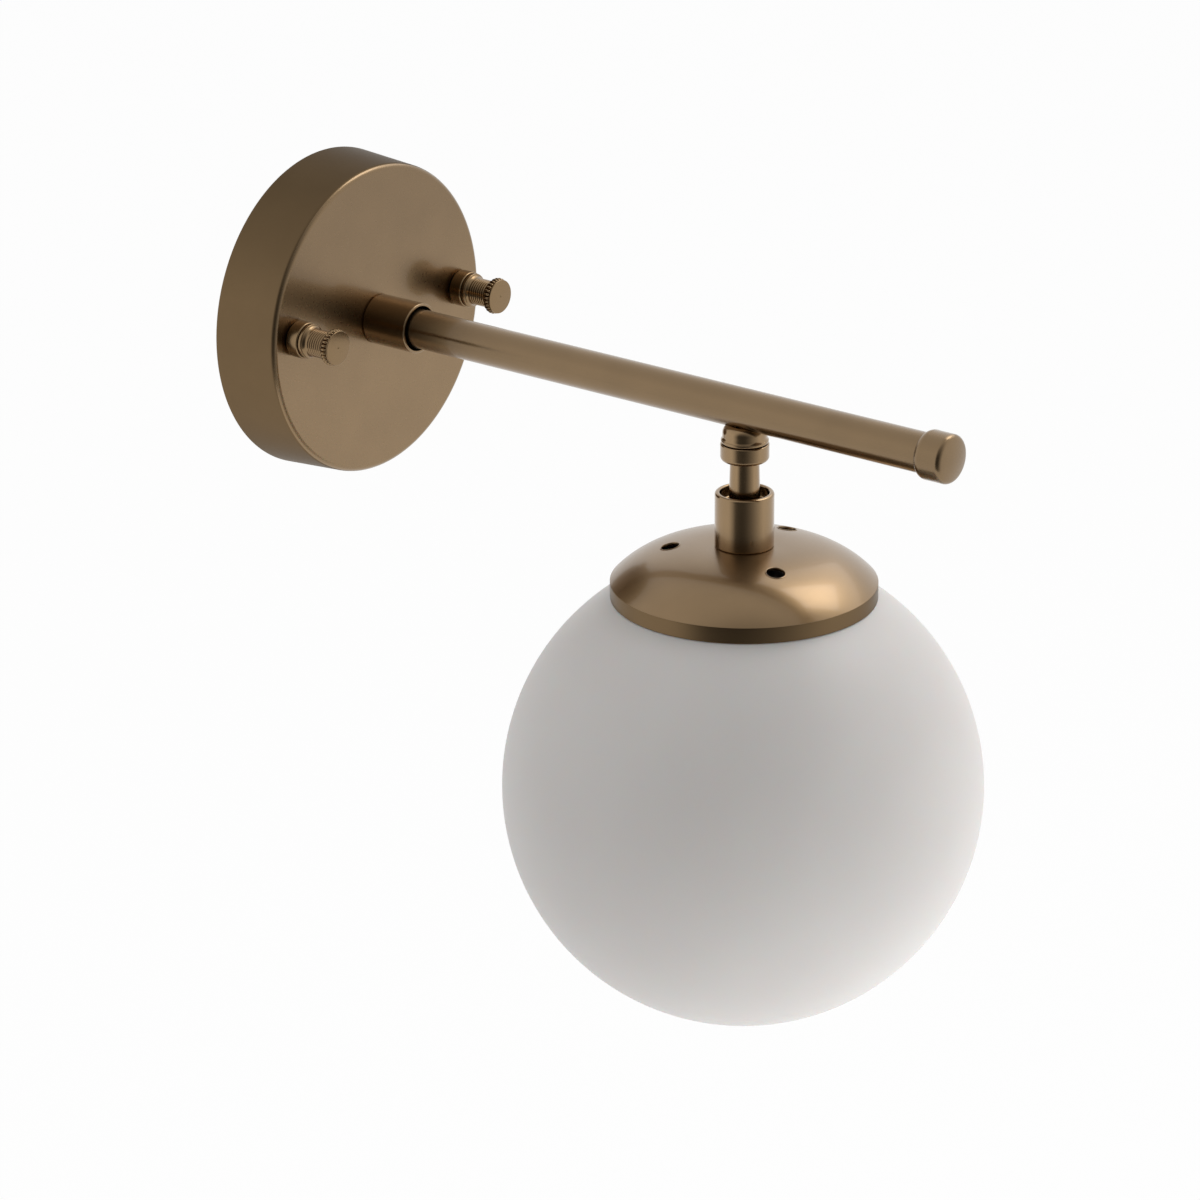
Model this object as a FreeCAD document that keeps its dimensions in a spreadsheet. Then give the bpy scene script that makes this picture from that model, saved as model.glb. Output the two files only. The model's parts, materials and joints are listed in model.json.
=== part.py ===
import FreeCAD, Part
import math
import os
import types

import Sketcher

# Globe wall sconce: a round pan on the wall, a straight arm with a cap on its end, a swivel under the
# arm, and a shallow spun cap that carries an opal globe. Millimetres. The origin is the middle of the
# pan on the wall, the arm runs along -Y and +Z is up.

SIZES = {
    # The pan on the wall and the strap behind it
    "plate_depth": 23.6,
    "plate_rear_r": 52.4,
    "plate_front_r": 50.8,
    "plate_sheet": 1.2,
    "plate_edge_round": 1.4,
    "plate_turn": 2.23,
    "stud_offset": 40.4,
    "stud_rise": 2.2,
    "bar_length": 96.0,
    "bar_width": 16.0,
    "bar_thick": 2.0,
    "bar_corner": 3.0,
    "bar_wire_hole_r": 7.0,
    "bar_slot_offset": 30.0,
    "bar_slot_length": 14.6,
    "bar_slot_width": 4.8,
    "stud_r": 2.08,
    "stud_hole_r": 2.6,
    "stud_tip_room": 1.5,
    "small_nut_flats": 8.7,
    "small_nut_thick": 3.2,
    "ground_offset": 13.5,
    "ground_head_r": 3.6,
    "ground_head_thick": 2.4,
    "ground_shank_r": 1.9,
    "ground_shank_length": 1.8,
    # Thumb nuts
    "nut_base_r": 5.95,
    "nut_base_length": 6.1,
    "nut_base_chamfer": 0.8,
    "nut_step_r": 5.5,
    "nut_step_length": 2.3,
    "nut_step_round": 0.4,
    "nut_neck_r": 4.2,
    "nut_neck_length": 7.1,
    "nut_head_r": 6.0,
    "nut_head_length": 2.0,
    "nut_edge": 0.3,
    "nut_face_thick": 2.6,
    "nut_groove_pitch": 1.1,
    "nut_groove_depth": 0.2,
    "nut_groove_count": 5,
    "nut_knurl_length": 1.5,
    "nut_tooth_depth": 0.4,
    "nut_tooth_width": 0.9,
    "nut_tooth_count": 28,
    # The arm
    "tube_r": 6.35,
    "tube_bore_r": 4.95,
    "collar_r": 8.2,
    "collar_bore_r": 7.3,
    "collar_length": 17.5,
    "collar_floor": 1.2,
    "collar_foot_chamfer": 0.6,
    "collar_lip_round": 0.3,
    "nipple_r": 4.9,
    "nipple_bore_r": 3.5,
    "nipple_grip": 9.0,
    "nipple_spare": 2.0,
    "nipple_washer_r": 9.5,
    "nipple_washer_thick": 1.6,
    "big_nut_flats": 14.0,
    "big_nut_thick": 3.5,
    "end_cap_reach": 251.1,
    "end_cap_r": 7.75,
    "end_cap_length": 10.8,
    "end_cap_flare": 2.7,
    "end_cap_lip": 0.3,
    "end_cap_crown": 1.2,
    "end_cap_round": 1.3,
    "end_cap_face": 3.2,
    # The swivel under the arm
    "swivel_out": 172.2,
    "saddle_r": 7.4,
    "saddle_top": 5.0,
    "saddle_foot": 9.6,
    "saddle_top_round": 2.6,
    "saddle_foot_round": 0.9,
    "spigot_r": 4.2,
    "spigot_top": 3.3,
    "washer_r": 7.45,
    "washer_thick": 1.15,
    "washer_round": 0.5,
    "ring_r": 7.65,
    "ring_height": 5.7,
    "ring_foot_round": 1.5,
    "ring_top_round": 0.4,
    "shank_r": 2.9,
    "shank_top": 1.5,
    "shank_groove": 0.5,
    "clip_r": 3.9,
    "clip_thick": 0.8,
    "wire_bore_r": 1.8,
    "stem_top_r": 4.55,
    "stem_foot_r": 4.9,
    "stem_length": 13.1,
    "stem_neck_r": 3.1,
    "stem_neck_length": 5.8,
    "ball_r": 6.0,
    # The cup that hangs on the ball
    "cup_r": 9.3,
    "cup_mouth_r": 7.7,
    "cup_lip_rise": 8.6,
    "cup_lip_round": 1.2,
    "cup_foot_drop": 9.0,
    "cup_foot_round": 0.6,
    "cup_web_rise": 4.7,
    "cup_web_r": 4.5,
    "plug_r": 7.0,
    "plug_thick": 2.6,
    # The spun cap
    "cap_rim_room": 4.9,
    "cap_sheet": 0.8,
    "cap_flat_r": 12.0,
    "cap_crown_r": 60.0,
    "cap_shoulder_r": 29.1,
    "cap_drop": 12.0,
    "cap_band": 4.55,
    "vent_r": 3.0,
    "vent_circle_r": 23.0,
    "vent_phase": 1.5,
    "vent_count": 3,
    "under_washer_r": 10.0,
    "under_washer_thick": 1.2,
    "under_nut_thick": 3.5,
    # The globe, its spider and its springs
    "globe_r": 76.2,
    "globe_wall": 3.0,
    "globe_neck_r": 37.0,
    "globe_neck_top": 54.3,
    "spider_hub_r": 15.0,
    "spider_reach": 30.5,
    "spider_arm_width": 12.0,
    "spider_thick": 1.2,
    "spring_sheet": 0.5,
    "spring_bend": 2.0,
    "spring_width": 8.0,
    "spring_phase": 30.0,
    "spring_root_r": 19.0,
    "spring_nose": 2.2,
    "spring_nose_drop": 2.6,
    "spring_tail_drop": 4.4,
    "rivet_r": 1.5,
    "rivet_head_r": 2.6,
    "rivet_head_thick": 0.8,
    "rivet_circle_r": 24.0,
    # The lampholder
    "holder_r": 16.5,
    "holder_wall": 2.0,
    "holder_top_thick": 3.0,
    "holder_top_length": 10.5,
    "holder_hub_r": 7.5,
    "holder_hub_length": 6.0,
    "holder_floor": 3.0,
    "holder_length": 33.0,
    "shell_r": 13.9,
    "shell_sheet": 0.4,
    "shell_length": 27.0,
    "shell_hole_r": 6.0,
    "contact_r": 3.2,
    "contact_thick": 1.8,
    # The bulb
    "bulb_tip_r": 2.4,
    "bulb_tip_thick": 1.0,
    "bulb_insulator_r": 9.5,
    "bulb_insulator_thick": 3.0,
    "bulb_base_r": 13.0,
    "bulb_base_sheet": 0.5,
    "bulb_base_length": 23.0,
    "bulb_base_taper": 2.0,
    "bulb_neck_r": 13.6,
    "bulb_neck_length": 8.0,
    "bulb_r": 17.5,
    "bulb_shoulder_r": 16.8,
    "bulb_length": 92.0,
    "bulb_wall": 0.8,
    # Clearances
    "screw_gap": 0.05,
    "hole_gap": 0.2,
    "running_fit": 0.05,
    "seat_gap": 0.3,
    "swivel_gap": 0.25,
    "rim_gap": 0.28,
}

NEAR = 1e-4
SQUARE = 90.0

doc = FreeCAD.newDocument("globe_wall_sconce")
sheet = doc.addObject("Spreadsheet::Sheet", "Sizes")
for row, (alias, number) in enumerate(SIZES.items(), 1):
    sheet.set(f"A{row}", str(number))
    sheet.setAlias(f"A{row}", alias)
doc.recompute()


class Size:
    """A size: its number, and the sheet formula that it follows."""

    def __init__(self, value, formula=None):
        self.value = value
        self.formula = formula or str(value)

    def join(self, sign, other, value):
        return Size(value, f"({self.formula} {sign} {other.formula})")

    def __add__(self, other):
        other = as_size(other)
        return self.join("+", other, self.value + other.value)

    def __sub__(self, other):
        other = as_size(other)
        return self.join("-", other, self.value - other.value)

    def __mul__(self, other):
        other = as_size(other)
        return self.join("*", other, self.value * other.value)

    def __truediv__(self, other):
        other = as_size(other)
        return self.join("/", other, self.value / other.value)

    def __neg__(self):
        return Size(-self.value, f"(-{self.formula})")


def as_size(number):
    return number if isinstance(number, Size) else Size(number)


def root_of(size):
    return Size(math.sqrt(size.value), f"sqrt({size.formula})")


def other_side(long_side, side):
    """The third side of a right triangle."""
    return root_of(long_side * long_side - side * side)


s = types.SimpleNamespace(**{alias: Size(number, f"Sizes.{alias}") for alias, number in SIZES.items()})
ZERO = Size(0.0)
NODES = []


# Placements

def spot(x, y, z):
    return f"vector({as_size(x).formula}; {as_size(y).formula}; {as_size(z).formula})"


def turned_frame(centre, axis, angle):
    return f"placement({centre}; rotation({axis}; {as_size(angle).formula}))"


def along_arm(out=ZERO):
    """Local Z runs out from the wall along the arm."""
    return turned_frame(spot(0, -out, 0), "vector(1; 0; 0)", SQUARE)


def on_plate(x, out=ZERO, up=ZERO):
    """Local Z runs out from the wall, in the frame of the pan, which hangs a little turned."""
    whole = turned_frame(spot(0, 0, 0), "vector(0; 1; 0)", s.plate_turn)
    place = turned_frame(spot(x, -out, up), "vector(1; 0; 0)", SQUARE)
    return f"{whole} * {place}"


def under_arm(turn=ZERO):
    """Local Z is up, with the arm's axis at zero height, on the swivel's axis."""
    return turned_frame(spot(0, -s.swivel_out, 0), "vector(0; 0; 1)", turn)


# Sketches and features

def bind(item, **formulas):
    for name, size in formulas.items():
        item.setExpression(name, as_size(size).formula)


def new_body(name):
    return doc.addObject("PartDesign::Body", name)


def sketch_on(body, plane):
    sketch = body.newObject("Sketcher::SketchObject", f"{body.Name}_sketch")
    support = next(item for item in body.Origin.OriginFeatures if item.Role == plane)
    sketch.AttachmentSupport = [(support, "")]
    sketch.MapMode = "FlatFace"
    return sketch


def hold(sketch, kind, *items):
    """Add a dimension whose last item is the size that it follows."""
    size = items[-1]
    index = sketch.addConstraint(Sketcher.Constraint(kind, *items[:-1], size.value))
    sketch.setExpression(f"Constraints[{index}]", size.formula)


def pin_point(sketch, edge, end, x, y):
    hold(sketch, "DistanceX", -1, 1, edge, end, x)
    hold(sketch, "DistanceY", -1, 1, edge, end, y)


def arc_through(start, end, radius):
    """The shorter arc of this radius, running anticlockwise from start to end."""
    middle = (start + end) * 0.5
    chord = end - start
    sideways = FreeCAD.Vector(-chord.y, chord.x, 0).normalize()
    reach = math.sqrt(max(radius * radius - (chord.Length / 2) ** 2, 0.0))
    bulge = middle - sideways * (radius - reach)
    return Part.Arc(start, bulge, end)


def outline(sketch, corners):
    """A closed outline. A corner with a third item starts an arc of that radius, minus for clockwise."""
    points = [FreeCAD.Vector(corner[0].value, corner[1].value, 0) for corner in corners]
    edges = []
    for index, corner in enumerate(corners):
        start = points[index]
        end = points[(index + 1) % len(points)]
        if len(corner) == 2:
            edge = sketch.addGeometry(Part.LineSegment(start, end))
            ends = (1, 2)
        elif corner[2].value > 0:
            edge = sketch.addGeometry(arc_through(start, end, corner[2].value))
            ends = (1, 2)
        else:
            edge = sketch.addGeometry(arc_through(end, start, -corner[2].value))
            ends = (2, 1)
        edges.append((edge, ends))
    for index, (edge, ends) in enumerate(edges):
        before, before_ends = edges[index - 1]
        sketch.addConstraint(Sketcher.Constraint("Coincident", before, before_ends[1], edge, ends[0]))
        pin_point(sketch, edge, ends[0], corners[index][0], corners[index][1])
        if len(corners[index]) == 3:
            radius = corners[index][2]
            hold(sketch, "Radius", edge, radius if radius.value > 0 else -radius)


def circle(sketch, x, y, radius):
    centre = FreeCAD.Vector(as_size(x).value, as_size(y).value, 0)
    edge = sketch.addGeometry(Part.Circle(centre, FreeCAD.Vector(0, 0, 1), radius.value))
    pin_point(sketch, edge, 3, as_size(x), as_size(y))
    hold(sketch, "Radius", edge, radius)


def slot(sketch, x, y, length, width):
    """A straight slot with round ends, along the sketch's first axis."""
    end_r = width / 2
    left = x - length / 2 + end_r
    right = x + length / 2 - end_r
    low_left, low_right, high_right, high_left = (
        FreeCAD.Vector(along.value, across.value, 0)
        for along, across in ((left, y - end_r), (right, y - end_r), (right, y + end_r), (left, y + end_r))
    )
    low = sketch.addGeometry(Part.LineSegment(low_left, low_right))
    right_end = sketch.addGeometry(arc_through(low_right, high_right, end_r.value))
    high = sketch.addGeometry(Part.LineSegment(high_right, high_left))
    left_end = sketch.addGeometry(arc_through(high_left, low_left, end_r.value))
    sketch.addConstraint([
        Sketcher.Constraint("Tangent", low, 2, right_end, 1),
        Sketcher.Constraint("Tangent", right_end, 2, high, 1),
        Sketcher.Constraint("Tangent", high, 2, left_end, 1),
        Sketcher.Constraint("Tangent", left_end, 2, low, 1),
    ])
    pin_point(sketch, right_end, 3, right, y)
    pin_point(sketch, left_end, 3, left, y)
    hold(sketch, "Radius", right_end, end_r)


def finish_feature(body, feature):
    body.Tip = feature
    doc.recompute()
    return feature


def revolve(body, corners):
    sketch = sketch_on(body, "XZ_Plane")
    outline(sketch, corners)
    return revolve_sketch(body, sketch)


def revolve_sketch(body, sketch):
    feature = body.newObject("PartDesign::Revolution", f"{body.Name}_turned")
    feature.Profile = sketch
    feature.ReferenceAxis = (sketch, ["V_Axis"])
    feature.Angle = 360
    sketch.Visibility = False
    return finish_feature(body, feature)


def cut_through(body, draw):
    """Cut what draw puts on the body's XY plane right through it, both ways."""
    before = body.Shape.Volume
    sketch = sketch_on(body, "XY_Plane")
    draw(sketch)
    feature = body.newObject("PartDesign::Pocket", f"{body.Name}_cut")
    feature.Profile = sketch
    feature.Type = "ThroughAll"
    feature.Midplane = True
    finish_feature(body, feature)
    if body.Shape.Volume > before - NEAR:
        raise RuntimeError(f"{body.Name}: a cut removed nothing")
    return feature


def cut_between(body, draw, low, high):
    """Cut what draw puts on a plane at the high level, down to the low one."""
    before = body.Shape.Volume
    sketch = sketch_on(body, "XY_Plane")
    sketch.setExpression("AttachmentOffset.Base.z", high.formula)
    draw(sketch)
    feature = body.newObject("PartDesign::Pocket", f"{body.Name}_cut")
    feature.Profile = sketch
    bind(feature, Length=high - low)
    finish_feature(body, feature)
    if body.Shape.Volume > before - NEAR:
        raise RuntimeError(f"{body.Name}: a cut removed nothing")
    return feature


def around(body, feature, count):
    """Repeat a feature around the body's Z axis."""
    pattern = body.newObject("PartDesign::PolarPattern", f"{body.Name}_around")
    pattern.Originals = [feature]
    pattern.Axis = (feature.Profile[0], ["N_Axis"])
    pattern.Angle = 360
    bind(pattern, Occurrences=count)
    return finish_feature(body, pattern)


def pad(body, draw, thick):
    sketch = sketch_on(body, "XY_Plane")
    draw(sketch)
    feature = body.newObject("PartDesign::Pad", f"{body.Name}_pad")
    feature.Profile = sketch
    bind(feature, Length=thick)
    return finish_feature(body, feature)


def rims(body, places):
    """The names of the tip's round edges at these radii and heights."""
    names = []
    for radius, height in places:
        found = [
            f"Edge{index}" for index, edge in enumerate(body.Tip.Shape.Edges, 1)
            if not edge.Degenerated and isinstance(edge.Curve, Part.Circle)
            and abs(edge.Curve.Radius - radius.value) < NEAR
            and abs(edge.Curve.Center.z - height.value) < NEAR
        ]
        if not found:
            raise RuntimeError(f"{body.Name}: no edge at radius {radius.value}, height {height.value}")
        names += found
    return names


def dress(body, kind, size, places):
    """Round or chamfer the round edges at these radii and heights."""
    names = rims(body, places)
    base = body.Tip
    feature = body.newObject(f"PartDesign::{kind}", f"{body.Name}_{kind.lower()}")
    feature.Base = (base, names)
    bind(feature, **{"Radius" if kind == "Fillet" else "Size": size})
    return finish_feature(body, feature)


def shell(body, height, sheet_thick):
    """Hollow the body from its flat face at this height, leaving a sheet."""
    before = body.Shape.Volume
    base = body.Tip
    open_face = next(
        f"Face{index}" for index, face in enumerate(base.Shape.Faces, 1)
        if isinstance(face.Surface, Part.Plane) and abs(face.CenterOfMass.z - height.value) < NEAR
    )
    feature = body.newObject("PartDesign::Thickness", f"{body.Name}_sheet")
    feature.Base = (base, [open_face])
    feature.Reversed = True
    feature.Mode = "Skin"
    feature.Join = "Intersection"
    bind(feature, Value=sheet_thick)
    finish_feature(body, feature)
    if not body.Shape.isValid() or body.Shape.Volume > before - NEAR:
        raise RuntimeError(f"{body.Name}: the shell did not form")


def node(item, label, place=None):
    """Name a finished sub-part and put it where it belongs."""
    item.Label = label
    if place:
        item.setExpression("Placement", place)
    NODES.append(item)


def turned(label, corners, place):
    body = new_body(label)
    revolve(body, corners)
    node(body, label, place)
    return body


def tube_corners(inner, outer, low, high):
    return [(inner, low), (outer, low), (outer, high), (inner, high)]


def hex_nut(name, flats, bore_r, thick):
    """A hexagonal nut on local Z, from zero height."""
    prism = doc.addObject("Part::Prism", f"{name}_hexagon")
    prism.Polygon = 6
    bind(prism, Circumradius=flats / root_of(Size(3.0)), Height=thick)
    bore = doc.addObject("Part::Cylinder", f"{name}_bore")
    bind(bore, Radius=bore_r, Height=thick)
    corners = doc.addObject("Part::Cone", f"{name}_corners")
    slope = thick * 2
    bind(corners, Radius1=flats / 2 + slope, Radius2=flats / 2 - thick / 8, Height=slope)
    corners.setExpression("Placement.Base.z", f"{(thick - slope).formula}")
    eased = doc.addObject("Part::MultiCommon", f"{name}_eased")
    eased.Shapes = [prism, corners]
    nut = doc.addObject("Part::Cut", name)
    nut.Base = eased
    nut.Tool = bore
    return nut


def group(label, items):
    """Several alike solids in one node."""
    compound = doc.addObject("Part::Compound", label)
    compound.Links = items
    node(compound, label)


# The pan on the wall and the strap behind it

nut_seat = s.plate_depth + s.seat_gap
nut_reach = nut_seat + s.nut_base_length + s.nut_step_length + s.nut_neck_length + s.nut_head_length
SIDES = (("left", -1), ("right", 1))


def make_backplate():
    body = new_body("backplate")
    revolve(body, [(ZERO, ZERO), (s.plate_rear_r, ZERO), (s.plate_front_r, s.plate_depth), (ZERO, s.plate_depth)])
    dress(body, "Fillet", s.plate_edge_round, [(s.plate_front_r, s.plate_depth)])
    shell(body, ZERO, s.plate_sheet)

    def holes(sketch):
        circle(sketch, 0, 0, s.nipple_r + s.hole_gap)
        for _, side in SIDES:
            circle(sketch, s.stud_offset * side, s.stud_rise, s.stud_hole_r)

    cut_through(body, holes)
    node(body, "backplate", on_plate(ZERO))


def make_crossbar():
    body = new_body("crossbar")
    half_length = s.bar_length / 2
    half_width = s.bar_width / 2
    corner = s.bar_corner

    def strap(sketch):
        outline(sketch, [
            (corner - half_length, -half_width), (half_length - corner, -half_width, corner),
            (half_length, corner - half_width), (half_length, half_width - corner, corner),
            (half_length - corner, half_width), (corner - half_length, half_width, corner),
            (-half_length, half_width - corner), (-half_length, corner - half_width, corner),
        ])

    def holes(sketch):
        circle(sketch, 0, 0, s.bar_wire_hole_r)
        circle(sketch, s.ground_offset, 0, s.ground_shank_r + s.screw_gap)
        for _, side in SIDES:
            circle(sketch, s.stud_offset * side, 0, s.stud_r + s.screw_gap)
            slot(sketch, s.bar_slot_offset * side, ZERO, s.bar_slot_length, s.bar_slot_width)

    pad(body, strap, s.bar_thick)
    cut_through(body, holes)
    node(body, "crossbar", on_plate(ZERO, up=s.stud_rise))


def make_studs():
    tip = nut_reach - s.nut_face_thick - s.stud_tip_room
    locknuts = []
    for word, side in SIDES:
        stud = new_body(f"stud_{word}")
        revolve(stud, [(ZERO, ZERO), (s.stud_r, ZERO), (s.stud_r, tip), (ZERO, tip)])
        dress(stud, "Chamfer", s.stud_r / 4, [(s.stud_r, ZERO), (s.stud_r, tip)])
        node(stud, f"stud_{word}", on_plate(s.stud_offset * side, up=s.stud_rise))
        locknut = hex_nut(f"stud_locknut_{word}", s.small_nut_flats, s.stud_r + s.screw_gap, s.small_nut_thick)
        locknut.setExpression("Placement", on_plate(s.stud_offset * side, s.bar_thick, s.stud_rise))
        locknuts.append(locknut)
    group("stud_locknuts", locknuts)


def make_ground_screw():
    under_head = s.bar_thick
    top = under_head + s.ground_head_thick
    foot = top - s.ground_head_thick - s.ground_shank_length
    body = new_body("ground_screw")
    revolve(body, [
        (ZERO, foot), (s.ground_shank_r, foot), (s.ground_shank_r, under_head), (s.ground_head_r, under_head),
        (s.ground_head_r, top), (ZERO, top),
    ])
    dress(body, "Fillet", s.ground_head_thick / 3, [(s.ground_head_r, top)])
    node(body, "ground_screw", on_plate(s.ground_offset, up=s.stud_rise))


def neck_grooves(middle):
    """The corners of the turned grooves round a nut's neck, spread evenly about its middle."""
    count = SIZES["nut_groove_count"]
    half_width = s.nut_groove_pitch / 4
    corners = []
    for number in range(count):
        height = middle + s.nut_groove_pitch * (number - (count - 1) / 2)
        corners += [
            (s.nut_neck_r, height - half_width), (s.nut_neck_r - s.nut_groove_depth, height),
            (s.nut_neck_r, height + half_width),
        ]
    return corners


def make_thumb_nuts():
    base_top = s.nut_base_length
    step_top = base_top + s.nut_step_length
    neck_top = step_top + s.nut_neck_length
    face = neck_top + s.nut_head_length
    bore_r = s.stud_r + s.running_fit
    bore_end = face - s.nut_face_thick
    tooth_root = s.nut_head_r - s.nut_tooth_depth
    half_tooth = s.nut_tooth_width / 2

    def tooth_gap(sketch):
        outline(sketch, [(tooth_root, ZERO), (s.nut_head_r + half_tooth, -half_tooth),
                         (s.nut_head_r + half_tooth, half_tooth)])

    for word, side in SIDES:
        body = new_body(f"thumb_nut_{word}")
        revolve(body, [
            (bore_r, ZERO), (s.nut_base_r, ZERO), (s.nut_base_r, base_top), (s.nut_step_r, base_top),
            (s.nut_step_r, step_top), (s.nut_neck_r, step_top), *neck_grooves((step_top + neck_top) / 2),
            (s.nut_neck_r, neck_top), (s.nut_head_r, neck_top), (s.nut_head_r, face), (ZERO, face),
            (ZERO, bore_end), (bore_r, bore_end),
        ])
        dress(body, "Chamfer", s.nut_base_chamfer, [(s.nut_base_r, ZERO)])
        dress(body, "Fillet", s.nut_step_round, [(s.nut_base_r, base_top), (s.nut_step_r, step_top)])
        dress(body, "Fillet", s.nut_edge, [(s.nut_head_r, face)])
        knurl = cut_between(body, tooth_gap, neck_top, neck_top + s.nut_knurl_length)
        around(body, knurl, s.nut_tooth_count)
        node(body, f"thumb_nut_{word}", on_plate(s.stud_offset * side, nut_seat, s.stud_rise))


# The arm

arm_root = s.plate_depth + s.collar_floor
tube_end = s.end_cap_reach - s.end_cap_face
plate_inside = s.plate_depth - s.plate_sheet


def make_collar():
    foot = s.plate_depth
    lip = foot + s.collar_length
    floor = foot + s.collar_floor
    body = new_body("arm_collar")
    revolve(body, [
        (s.nipple_r + s.hole_gap, foot), (s.collar_r, foot), (s.collar_r, lip), (s.collar_bore_r, lip),
        (s.collar_bore_r, floor), (s.nipple_r + s.hole_gap, floor),
    ])
    dress(body, "Chamfer", s.collar_foot_chamfer, [(s.collar_r, foot)])
    dress(body, "Fillet", s.collar_lip_round, [(s.collar_r, lip), (s.collar_bore_r, lip)])
    node(body, "arm_collar", along_arm())


def make_arm_tube():
    tube = new_body("arm_tube_blank")
    revolve(tube, tube_corners(s.tube_bore_r, s.tube_r, arm_root, tube_end))
    tube.setExpression("Placement", along_arm())
    drill = doc.addObject("Part::Cylinder", "arm_tube_drill")
    bind(drill, Radius=s.spigot_r + s.screw_gap, Height=s.tube_r + s.seat_gap)
    drill.setExpression("Placement", turned_frame(spot(0, -s.swivel_out, 0), "vector(1; 0; 0)", 2 * SQUARE))
    cut = doc.addObject("Part::Cut", "arm_tube")
    cut.Base = tube
    cut.Tool = drill
    node(cut, "arm_tube")


def make_arm_fixing():
    washer_back = plate_inside - s.nipple_washer_thick
    nut_back = washer_back - s.big_nut_thick
    nipple_back = nut_back - s.nipple_spare
    nipple_front = arm_root + s.nipple_grip
    nipple = turned("arm_nipple", tube_corners(s.nipple_bore_r, s.nipple_r, nipple_back, nipple_front), along_arm())
    dress(nipple, "Chamfer", s.screw_gap * 8, [(s.nipple_r, nipple_back), (s.nipple_r, nipple_front)])
    hole_r = s.nipple_r + s.hole_gap
    turned("arm_washer", tube_corners(hole_r, s.nipple_washer_r, washer_back, plate_inside), along_arm())
    nut = hex_nut("arm_locknut", s.big_nut_flats, s.nipple_r + s.screw_gap, s.big_nut_thick)
    node(nut, "arm_locknut", along_arm(nut_back))


def make_end_cap():
    front = s.end_cap_reach
    edge = front - s.end_cap_crown
    back = front - s.end_cap_length
    bore_r = s.tube_r + s.screw_gap
    lip_r = bore_r + s.end_cap_lip
    flare_top = back + s.end_cap_flare
    face_r = s.end_cap_r
    crown_r = (face_r * face_r + s.end_cap_crown * s.end_cap_crown) / (s.end_cap_crown * 2)
    body = new_body("arm_end_cap")
    revolve(body, [
        (ZERO, tube_end), (bore_r, tube_end), (bore_r, back), (lip_r, back, -s.end_cap_flare),
        (face_r, flare_top), (face_r, edge, crown_r), (ZERO, front),
    ])
    dress(body, "Fillet", s.end_cap_round, [(face_r, edge)])
    node(body, "arm_end_cap", along_arm())


# The swivel: heights are below the arm's axis

washer_foot = -(s.saddle_foot + s.washer_thick)
ring_top = washer_foot - s.swivel_gap
ring_foot = ring_top - s.ring_height
stem_foot = ring_foot - s.stem_length
ball_z = stem_foot - s.stem_neck_length
seat_r = s.ball_r + s.running_fit
cup_foot = ball_z - s.cup_foot_drop
cup_lip = ball_z + s.cup_lip_rise


def make_saddle():
    top = -s.saddle_top
    foot = -s.saddle_foot
    bore_r = s.shank_r + s.running_fit
    drum = new_body("saddle_drum")
    revolve(drum, tube_corners(bore_r, s.saddle_r, foot, top))
    dress(drum, "Fillet", s.saddle_top_round, [(s.saddle_r, top)])
    dress(drum, "Fillet", s.saddle_foot_round, [(s.saddle_r, foot)])
    drum.setExpression("Placement", under_arm())
    arm = doc.addObject("Part::Cylinder", "saddle_arm_cut")
    bind(arm, Radius=s.tube_r, Height=s.saddle_r * 3)
    arm.setExpression("Placement", along_arm(s.swivel_out - s.saddle_r * 1.5))
    notched = doc.addObject("Part::Cut", "saddle_notched")
    notched.Base = drum
    notched.Tool = arm
    spigot = new_body("saddle_spigot")
    revolve(spigot, tube_corners(bore_r, s.spigot_r, foot + s.saddle_foot_round, -s.spigot_top))
    spigot.setExpression("Placement", under_arm())
    saddle = doc.addObject("Part::Fuse", "swivel_saddle")
    saddle.Base = notched
    saddle.Tool = spigot
    node(saddle, "swivel_saddle")


def make_swivel_rings():
    hole_r = s.shank_r + s.running_fit
    washer = turned("swivel_washer", tube_corners(hole_r, s.washer_r, washer_foot, -s.saddle_foot), under_arm())
    dress(washer, "Fillet", s.washer_round, [(s.washer_r, washer_foot), (s.washer_r, -s.saddle_foot)])
    ring = turned("swivel_ring", tube_corners(hole_r, s.ring_r, ring_foot, ring_top), under_arm())
    dress(ring, "Fillet", s.ring_foot_round, [(s.ring_r, ring_foot)])
    dress(ring, "Fillet", s.ring_top_round, [(s.ring_r, ring_top)])


def make_stem():
    groove_low = s.seat_gap - s.spigot_top
    groove_high = groove_low + s.clip_thick
    groove_r = s.shank_r - s.shank_groove
    bore_r = s.wire_bore_r
    neck_meets_ball = ball_z + other_side(s.ball_r, s.stem_neck_r)
    ball_ends = ball_z - other_side(s.ball_r, bore_r)
    body = new_body("swivel_stem")
    revolve(body, [
        (bore_r, -s.shank_top), (bore_r, ball_ends, s.ball_r), (s.ball_r, ball_z, s.ball_r),
        (s.stem_neck_r, neck_meets_ball), (s.stem_neck_r, stem_foot), (s.stem_foot_r, stem_foot),
        (s.stem_top_r, ring_foot), (s.shank_r, ring_foot), (s.shank_r, groove_low), (groove_r, groove_low),
        (groove_r, groove_high), (s.shank_r, groove_high), (s.shank_r, -s.shank_top),
    ])
    node(body, "swivel_stem", under_arm())
    clip_bore = groove_r + s.screw_gap
    turned("stem_clip", tube_corners(clip_bore, s.clip_r, groove_low, groove_high), under_arm())


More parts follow.
